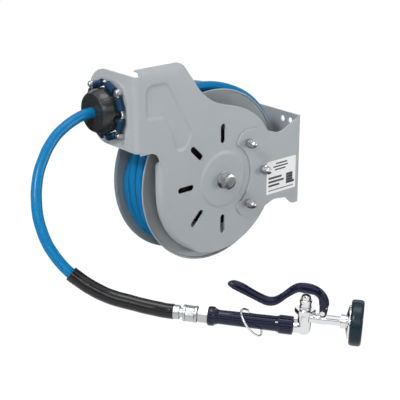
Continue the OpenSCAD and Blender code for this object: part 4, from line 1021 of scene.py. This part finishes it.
def arm_height(q):
    """How far the arm's face stands out at each point: the boss out, the panel in."""
    out, back = shoulder(signed(q, boss), PRESS_WIDTH), shoulder(signed(q, panel), PRESS_WIDTH)
    return PRESS_DEPTH * (out - back)


plate = pressed_sheet(arm_outline, holes, arm_height, [boss, panel], on_arm)
print(f"arm's plate of {len(plate.faces)} faces with {len(holes)} holes")

# %% [markdown]
# ## The tab and its bend
# The tab stands square to the arm, with a pad raised by a millimetre round the hose's
# opening and a screw hole at each of the pad's corners. The bend between tab and arm is a
# grid: once round its section at every height.

# %% The tab and its bend
BEND_X = ARM_X - BEND_R
TAB_SIDE, TAB_CORNER_R = -56.5, 45
PAD_HALF, PAD_CORNER_R, PAD_EDGE = 52, 36, 5
OPENING_R = 40
SCREW_X, SCREW_Z, SCREW_HOLE_R = 36.5, 35.5, 2.05
SCREW_SPOTS = [(x, z) for x in (-SCREW_X, SCREW_X) for z in (-SCREW_Z, SCREW_Z)]

tab_outline = rounded([(BEND_X, TAB_Z1, 0), (TAB_SIDE, TAB_Z1, TAB_CORNER_R),
                       (TAB_SIDE, TAB_Z0, TAB_CORNER_R), (BEND_X, TAB_Z0, 0)], 14)
tab_outline = np.array([tuple(q) for q in tab_outline] + [(BEND_X, z) for z in tab_line[1:-1]])
pad_corners = [(-1, -1), (1, -1), (1, 1), (-1, 1)]
pad = np.array([tuple(q) for q in rounded([
    (GUIDE_X + x * PAD_HALF, GUIDE_Z + z * PAD_HALF, PAD_CORNER_R) for x, z in pad_corners])])
tab_holes = [circle((GUIDE_X, GUIDE_Z), OPENING_R, 72)]
tab_holes += [circle((GUIDE_X + x, GUIDE_Z + z), SCREW_HOLE_R, 14) for x, z in SCREW_SPOTS]


def tab_height(q):
    """How far the tab's face stands out at each point."""
    return shoulder(signed(q, pad), PAD_EDGE)


def bend_point(r, degrees, z):
    """A point of the bend at a radius and an angle round its upright centre line."""
    a = math.radians(degrees)
    return Vector((BEND_X + r * math.cos(a), TAB_Y + BEND_R - r * math.sin(a), z)) * MM


tab = pressed_sheet(tab_outline, tab_holes, tab_height, [pad], on_tab)
bend_section = [(BEND_R, a) for a in range(0, 91, 15)]
bend_section += [(BEND_R - SHEET, a) for a in range(90, -1, -15)]
bend = laid_grid([[bend_point(r, a, z) for r, a in bend_section] for z in tab_line],
                 closed_ends=True)

# %% [markdown]
# ## The arm welded together
# Arm, bend, tab and lips are five closed meshes. A boolean union could join them, but they
# only touch, and touching faces are what a boolean handles worst. Here their edges match,
# so doubles are merged and the walls left between two sheets are taken out.

# %% The arm welded together


def is_crowded(edge):
    """True on a line where a triangulated skin, a wall and another sheet meet."""
    return len(edge.link_faces) > 2 and any(len(f.verts) == 3 for f in edge.link_faces)


def weld_sheets(bm):
    """Welds sheets that meet edge to edge and takes out the walls left inside them."""
    bmesh.ops.remove_doubles(bm, verts=bm.verts, dist=0.001 * MM)
    walls = [f for f in bm.faces if len(f.verts) == 4 and sum(map(is_crowded, f.edges)) == 2]
    bmesh.ops.delete(bm, geom=walls, context="FACES")
    print(f"{len(walls)} inner walls taken out")
    return bm


ARM_EDGE_MM, ARM_EDGE_LIMIT = 0.6, 60
whole_arm = weld_sheets(joined(plate, tab, bend, top_mesh, side_mesh))
side_arm = make_piece("pressed_side_arm", whole_arm, powder_grey, "frame",
                      ["side_arm"])
soften(side_arm, ARM_EDGE_MM, ARM_EDGE_LIMIT)

# %% [markdown]
# ## Hexagon nuts
# The CAD nuts are plain prisms. Real ones are chamfered on a lathe before their flats show,
# so each flat ends in an arc. The drop of the corners below the face follows that cone.

# %% Hexagon nuts
# The chamfer's cone starts at this part of the half width, at this slope
CHAMFER_START, CHAMFER_SLOPE = 0.97, math.tan(math.radians(28))
BORE_CHAMFER = 0.5


def hexagon_r(a, half):
    """How far a hexagon reaches at an angle, from half its width across the flats."""
    return half / math.cos(a % (math.pi / 3) - math.pi / 6)


def hex_nut(across, low, high, bore, place, turn):
    """A hexagon nut from low to high along its axis, both ends chamfered."""
    half = across / 2
    face_r = half * CHAMFER_START

    def corner_at(end, inward):
        def row(a):
            r = hexagon_r(a, half)
            return r, end + inward * max(0, r - face_r) * CHAMFER_SLOPE
        return row

    return spun([
        (bore, low), (face_r, low), corner_at(low, 1), corner_at(high, -1), (face_r, high),
        (bore + BORE_CHAMFER, high), (bore, high - BORE_CHAMFER)], place, turn=turn)


def from_axle(y, z):
    """The axle's matrix moved to a spot y and z from it."""
    return FROM_AXLE @ Matrix.Translation((y, z, 0))


# M8 nuts on the cheek's bolts and M16 nuts on the axle: width across the flats, height
# and the bore's radius
CHEEK_X = 72
CHEEK_NUT, CHEEK_NUT_H, CHEEK_NUT_BORE = 13, 6.5, 4
AXLE_NUT, AXLE_NUT_H, AXLE_NUT_BORE = 24, 7.5, 8
WASHER_T = 2
# The jam nut starts on the washer, which lies on the boss
JAM_FROM = ARM_X + PRESS_DEPTH + WASHER_T
END_TO = ARM_X + 19.5
# How far each nut happens to be turned, in radians; y tells the cheek's nuts apart
CHEEK_TURN, JAM_TURN, END_TURN = 0.4, 0.1, 0.35
nuts = [hex_nut(CHEEK_NUT, CHEEK_X, CHEEK_X + CHEEK_NUT_H, CHEEK_NUT_BORE, from_axle(y, z),
                CHEEK_TURN + y) for y, z in CHEEK_BOLTS]
make_piece("cheek_nuts", joined(*nuts), zinc, "frame", ["bracket_nuts"])
jam_nut = hex_nut(AXLE_NUT, JAM_FROM, JAM_FROM + AXLE_NUT_H, AXLE_NUT_BORE, FROM_AXLE, JAM_TURN)
make_piece("jam_nut", jam_nut, zinc, "frame", ["axle_jam_nut"])
end_nut = hex_nut(AXLE_NUT, JAM_FROM + AXLE_NUT_H, END_TO, AXLE_NUT_BORE, FROM_AXLE, END_TURN)
make_piece("end_nut", end_nut, zinc, "frame", ["axle_end_nut"])

# %% [markdown]
# ## Cap nuts
# A round collar, a short hexagon and a dome, in the same space as the CAD's round cap.

# %% Cap nuts
CAP_R, CAP_H, CAP_FROM = 8, 14, CHEEK_X + CHEEK_NUT_H
# Half the hexagon's width, and the height up to which it is plain
CAP_HALF, HEX_TOP = 6.85, 5.7
COLLAR_H, COLLAR_ROUND = 1.3, 0.3
DOME_R, DOME_FROM = 6.3, 7.2
# The bore for the bolt's end is left open below and stops this far under the dome's top
CAP_BORE, BORE_STOP = 4, 5
# A spun section keeps off its axis, so the innermost rows come only this close to it
NEAR_AXIS = 0.05


def cap_rows():
    """A round collar, a hexagon with its upper corners turned off, and a dome."""
    base, top = CAP_FROM, CAP_FROM + CAP_H
    rows = [(CAP_BORE, base), (CAP_R - 0.2, base), (CAP_R, base + COLLAR_ROUND),
            (CAP_R, base + COLLAR_H - COLLAR_ROUND), (CAP_R - COLLAR_ROUND, base + COLLAR_H),
            lambda a: (hexagon_r(a, CAP_HALF), base + COLLAR_H + 0.1),
            lambda a: (hexagon_r(a, CAP_HALF), base + HEX_TOP),
            (CAP_HALF - 0.1, base + HEX_TOP + 0.5), (DOME_R + 0.1, base + HEX_TOP + 0.7)]
    rows += [(DOME_R * math.cos(a), base + DOME_FROM + (CAP_H - DOME_FROM) * math.sin(a))
             for a in np.radians(np.linspace(0, 86, 12))]
    return rows + [(NEAR_AXIS, top), (NEAR_AXIS, top - BORE_STOP), (CAP_BORE, top - BORE_STOP)]


caps = [spun(cap_rows(), from_axle(y, z), turn=CHEEK_TURN + y) for y, z in CHEEK_BOLTS]
make_piece("domed_caps", joined(*caps), zinc, "frame", ["cap_nuts"])

# %% [markdown]
# ## Guide screws
# Small pan heads. The cross recess is pressed into the inner rings of the spun head with
# a four-lobed radius, which is lighter than cutting it out with a boolean.

# %% Guide screws
HEAD_R, HEAD_H, HEAD_Y = 4, 2.6, GUIDE_Y - 3.4
SHANK_R, SHANK_L = 1.95, 14
RECESS_H = 1.5
# Core and arms of the cross, at its opening and at its bottom
OPENING, BOTTOM = (0.8, 1.4), (0.6, 1.1)


def cross(core, arm):
    """Radius of a cross recess at an angle: a core with four arms."""
    return lambda a: core + arm * abs(math.cos(2 * a)) ** 6


def screw(x, z):
    """A guide screw at x and z from the guide's middle, its head outwards along -Y."""
    opening, bottom = cross(*OPENING), cross(*BOTTOM)
    rows = [(SHANK_R, -SHANK_L), (SHANK_R, 0), (HEAD_R - 0.25, 0), (HEAD_R, 0.3), (HEAD_R, 1.1),
            (3.65, 1.8), (3, 2.3), (2.3, 2.55), lambda a: (opening(a), HEAD_H),
            lambda a: (bottom(a), HEAD_H - RECESS_H), (NEAR_AXIS, HEAD_H - RECESS_H - 0.4),
            (NEAR_AXIS, -SHANK_L)]
    outward = Matrix(((1, 0, 0, GUIDE_X + x), (0, 0, -1, HEAD_Y), (0, 1, 0, GUIDE_Z + z),
                      (0, 0, 0, 1)))
    return spun(rows, Matrix.Scale(MM, 4) @ outward, 64)


screws = [screw(x, z) for x, z in SCREW_SPOTS]
make_piece("cross_head_screws", joined(*screws), zinc, "frame", ["guide_screws"])

# %% [markdown]
# ## Near flange
# The flange's rim is turned out and ends in a small rolled bead. Its whole section is
# spun once round the axle.

# %% Near flange
# Its inner face's place along the axle, then radius, bore, sheet, the rim's width and bead
NEAR_X, FLANGE_R, FLANGE_BORE_R = 37.4, 150, 14
FLANGE_T, FLANGE_LIP, BEAD_R = 1.5, 4, 1.5
bead_x, bead_r = NEAR_X + FLANGE_LIP - BEAD_R, FLANGE_R - BEAD_R
rim = [(FLANGE_BORE_R, NEAR_X), (FLANGE_R - 4.2, NEAR_X), (FLANGE_R - 2.2, NEAR_X + 0.5),
       (FLANGE_R - 0.8, NEAR_X + 1.3), (FLANGE_R, NEAR_X + 2.2)]
rim += [(bead_r + BEAD_R * math.cos(a), bead_x + BEAD_R * math.sin(a))
        for a in np.radians(np.linspace(0, 250, 14))]
rim += [(FLANGE_R - 4.6, NEAR_X + 2.1), (FLANGE_R - 5.6, NEAR_X + FLANGE_T),
        (FLANGE_BORE_R, NEAR_X + FLANGE_T)]
make_piece("beaded_near_flange", spun(rim, FROM_AXLE, 160), drum_grey, "drum",
           ["near_flange"])

# %% [markdown]
# ## Coupling nut
# It has a raised ring at each end and six shallow flats between them. Inside, a wide bore
# takes the grip tube's end and a narrow one the ferrule's neck.

# %% Coupling nut
# From and to, measured back from the valve's head
NUT_S, NUT_END = 236, 257
RING_R, RING_W, RING_ROUND = 12.7, 2.9, 0.5
# The groove beside a ring, the flats' half width and the round that cuts their corners
GROOVE_R, FLATS_HALF, CORNERS_R, FLATS_FROM = 10.9, 11.4, 12.25, 4.4
TUBE_BORE_R, FERRULE_BORE_R, TUBE_BORE_DEPTH = 8.8, 7.2, 14.7
# Millimetres about the valve's grip: u across it, v up and w back from the head
ALONG_VALVE = Matrix.Translation(VALVE_HEAD) @ VALVE_TURN.to_4x4() @ Matrix.Scale(MM, 4) @ Matrix(
    ((0, 0, -1, 0), (1, 0, 0, 0), (0, 1, 0, HANDLE_H), (0, 0, 0, 1)))


def shallow_flats(a):
    """A hexagon with its corners turned off to a round."""
    return min(CORNERS_R, hexagon_r(a, FLATS_HALF))


def ring_rows(end, inward):
    """The raised ring at one end, from its outer face inwards."""
    return [(RING_R - RING_ROUND, end), (RING_R, end + inward * RING_ROUND),
            (RING_R, end + inward * RING_W),
            (RING_R - RING_ROUND, end + inward * (RING_W + RING_ROUND)),
            (GROOVE_R, end + inward * (RING_W + RING_ROUND + 0.4))]


nut_rows = [(TUBE_BORE_R, NUT_S), *ring_rows(NUT_S, 1),
            lambda a: (shallow_flats(a), NUT_S + FLATS_FROM),
            lambda a: (shallow_flats(a), NUT_END - FLATS_FROM),
            *reversed(ring_rows(NUT_END, -1)), (FERRULE_BORE_R, NUT_END),
            (FERRULE_BORE_R, NUT_S + TUBE_BORE_DEPTH),
            (TUBE_BORE_R, NUT_S + TUBE_BORE_DEPTH - 0.2)]
make_piece("ringed_coupling_nut", spun(nut_rows, ALONG_VALVE), fitting_grey, "coupling_nut",
           ["coupling_nut"])

# %% [markdown]
# ## Rating label
# A thin white plate on the bracket's cheek with a few ruled lines and no words. It is real
# geometry, so it needs no image and no UV map.

# %% Rating label
# The plate starts just off the cheek, and the rules stand out of its face
LABEL_BACK, LABEL_FRONT, RULE_FRONT = CHEEK_X + 0.02, CHEEK_X + 0.3, CHEEK_X + 0.36
LABEL_Y, LABEL_Z, LABEL_CORNER_R, RULE_CORNER_R = (-81.5, -10.5), (-51, 9.5), 2, 0.3
# Each rule runs from one y to another at a height z, with half its thickness
RULES = [(-60, -32, 3, 1.3), (-66, -30, -2.5, 1.3), (-62, -36, -8, 1.3), (-77, -45, -22, 1.8),
         (-77, -40, -29, 1.8), (-77, -50, -36, 1.8), (-77, -16, -45, 0.8), (-34, -18, -22, 2.4),
         (-34, -18, -27, 2.4), (-34, -18, -32, 2.4), (-34, -14, -37, 2.4)]


def flat_patch(y0, y1, z0, z1, front, r):
    """A thin plate on the cheek with rounded corners, out to its front."""
    outline = rounded([(y0, z0, r), (y1, z0, r), (y1, z1, r), (y0, z1, r)], 4)
    bm = bmesh.new()
    bm.faces.new([bm.verts.new(Vector((LABEL_BACK, q.x, q.y)) * MM) for q in outline])
    return thickened(bm, Vector((front - LABEL_BACK, 0, 0)) * MM)


make_piece("rating_label", flat_patch(*LABEL_Y, *LABEL_Z, LABEL_FRONT, LABEL_CORNER_R),
           label_white, "frame", smooth=False)
rules = [flat_patch(a, b, z - t, z + t, RULE_FRONT, RULE_CORNER_R) for a, b, z, t in RULES]
make_piece("label_rules", joined(*rules), label_ink, "frame", smooth=False)

# %% [markdown]
# ## World
# White for the camera, so the background is white without more light on the object. Matt
# surfaces get an even, dim grey. What shines sees a white room with a dark horizon and a
# dark band high up, because chrome only looks like chrome when it mirrors contrast.

# %% World
# What shines sees these greys, from straight down (0) over the horizon (0.5) to the zenith
ROOM_GREYS = [(0, 0.75), (0.42, 0.85), (0.45, 0.03), (0.54, 0.015), (0.58, 0.85), (0.74, 1),
              (0.78, 0.06), (0.84, 0.05), (0.88, 1)]
ROOM_BLUE = 1.02
EVEN_LIGHT, ROOM_LIGHT, WHITE = 0.32, 1.05, 1.02


def build_world():
    """White for the camera, even grey for the finishes, banded for what shines."""
    world = bpy.data.worlds.new("studio")
    bpy.context.scene.world = world
    world.use_nodes = True
    tree = world.node_tree
    even = tree.nodes["Background"]
    feed(even, {"Color": (0.93, 0.96, 1, 1), "Strength": EVEN_LIGHT})
    white = shader_node(tree, "Background", {"Color": (1, 1, 1, 1), "Strength": WHITE})
    coords = shader_node(tree, "TexCoord")
    split = shader_node(tree, "SeparateXYZ", {"Vector": (coords, "Generated")})
    height = shader_node(tree, "Math", {0: (split, "Z"), 1: 0.5, 2: 0.5},
                         operation="MULTIPLY_ADD")
    greys = grey_ramp(tree, (height, 0), ROOM_GREYS, ROOM_BLUE)
    room = shader_node(tree, "Background", {"Color": (greys, "Color"), "Strength": ROOM_LIGHT})
    path = shader_node(tree, "LightPath")
    lit = shader_node(tree, "MixShader", {"Fac": (path, "Is Glossy Ray"), 1: (even, 0),
                                          2: (room, 0)})
    seen = shader_node(tree, "MixShader", {"Fac": (path, "Is Camera Ray"), 1: (lit, 0),
                                           2: (white, 0)})
    feed(tree.nodes["World Output"], {"Surface": (seen, 0)})


build_world()
print(f"room of {len(ROOM_GREYS)} greys for what shines")

# %% [markdown]
# ## The floor's finish
# White for the camera, with the object's soft shadow. In the chrome it is pale below the
# valve and dark behind it, which draws the dark outlines that polished tubes have.

# %% The floor's finish
# Level, square to the grip and away from the camera
BEHIND_GRIP = Vector((-0.641, 0.768, 0))
# Greys from this far before the valve, in metres, to one metre on
PALE_WIDTH = 0.4
FLOOR_GREYS = [(0, 0.6), (0.06, 0.9), (0.4, 0.9), (0.42, 0.55), (0.44, 0.02), (0.85, 0.02),
               (1, 0.45)]
FLOOR_GLOW, CAMERA_SHARE = 1.03, 0.96


def floor_material():
    """White to the camera; what shines sees it pale under the valve and dark behind it."""
    mat = bpy.data.materials.new("floor_white")
    mat.use_nodes = True
    tree = mat.node_tree
    matt = tree.nodes["Principled BSDF"]
    feed(matt, {"Base Color": (0.9, 0.9, 0.9, 1), "Roughness": 0.9})
    glow = shader_node(tree, "Emission", {"Strength": FLOOR_GLOW})
    coords = shader_node(tree, "TexCoord")
    across = shader_node(tree, "VectorMath", {0: (coords, "Object"), 1: BEHIND_GRIP},
                         operation="DOT_PRODUCT")
    behind = shader_node(tree, "Math", {0: (across, "Value"),
                                        1: PALE_WIDTH - VALVE_HEAD.dot(BEHIND_GRIP)},
                         operation="ADD")
    greys = grey_ramp(tree, (behind, 0), FLOOR_GREYS)
    mirrored = shader_node(tree, "Emission", {"Color": (greys, "Color")})
    path = shader_node(tree, "LightPath")
    lit = shader_node(tree, "MixShader", {"Fac": (path, "Is Glossy Ray"), 1: (matt, 0),
                                          2: (mirrored, 0)})
    share = shader_node(tree, "Math", {0: (path, "Is Camera Ray"), 1: CAMERA_SHARE},
                        operation="MULTIPLY")
    seen = shader_node(tree, "MixShader", {"Fac": (share, 0), 1: (lit, 0), 2: (glow, 0)})
    feed(tree.nodes["Material Output"], {"Surface": (seen, 0)})
    return mat

# %% [markdown]
# ## The floor's sheet
# One face is enough for a flat floor, if it is so wide that its edge is never seen. It
# hangs on no body, so it belongs to the studio and not to the reel.

# %% The floor's sheet
FLOOR_Z, FLOOR_SIZE = -151.6 * MM, 6
floor_bm = bmesh.new()
bmesh.ops.create_grid(floor_bm, x_segments=1, y_segments=1, size=FLOOR_SIZE,
                      matrix=Matrix.Translation((0, 0, FLOOR_Z)))
floor_mesh = bpy.data.meshes.new("floor")
floor_bm.to_mesh(floor_mesh)
floor_bm.free()
floor_mesh.materials.append(floor_material())
floor = bpy.data.objects.new("floor", floor_mesh)
bpy.context.scene.collection.objects.link(floor)

# %% [markdown]
# ## Soft boxes
# A key from the front and above, a side light on the arm's face, a weak fill and a broad
# top light. Large lamps give the soft edges of light that a product is lit with.

# %% Soft boxes


def soft_box(name, place, aim, size, power):
    """A rectangular lamp at a place, turned towards its aim."""
    lamp = bpy.data.lights.new(name, "AREA")
    lamp.shape = "RECTANGLE"
    lamp.size, lamp.size_y = size
    lamp.energy = power
    obj = bpy.data.objects.new(name, lamp)
    obj.location = place
    obj.rotation_mode = "QUATERNION"
    obj.rotation_quaternion = (Vector(place) - Vector(aim)).to_track_quat("Z", "Y")
    bpy.context.scene.collection.objects.link(obj)


REEL_MIDDLE = (0.1, -0.3, 0)
# Name, place, size in metres and watts
SOFT_BOXES = [("key", (0.6, -2.4, 2.0), (0.7, 0.5), 52), ("side", (1.9, 1.45, 0.0), (0.7, 0.8), 26),
              ("fill", (2.3, -1.7, 1.5), (1.0, 1.0), 8), ("top", (0.2, -0.2, 2.4), (1.2, 1.2), 15)]
for name, place, size, power in SOFT_BOXES:
    soft_box(name, place, REEL_MIDDLE, size, power)
    print(f"{name} light of {power} W")

bpy.context.scene.view_settings.view_transform = "Standard"
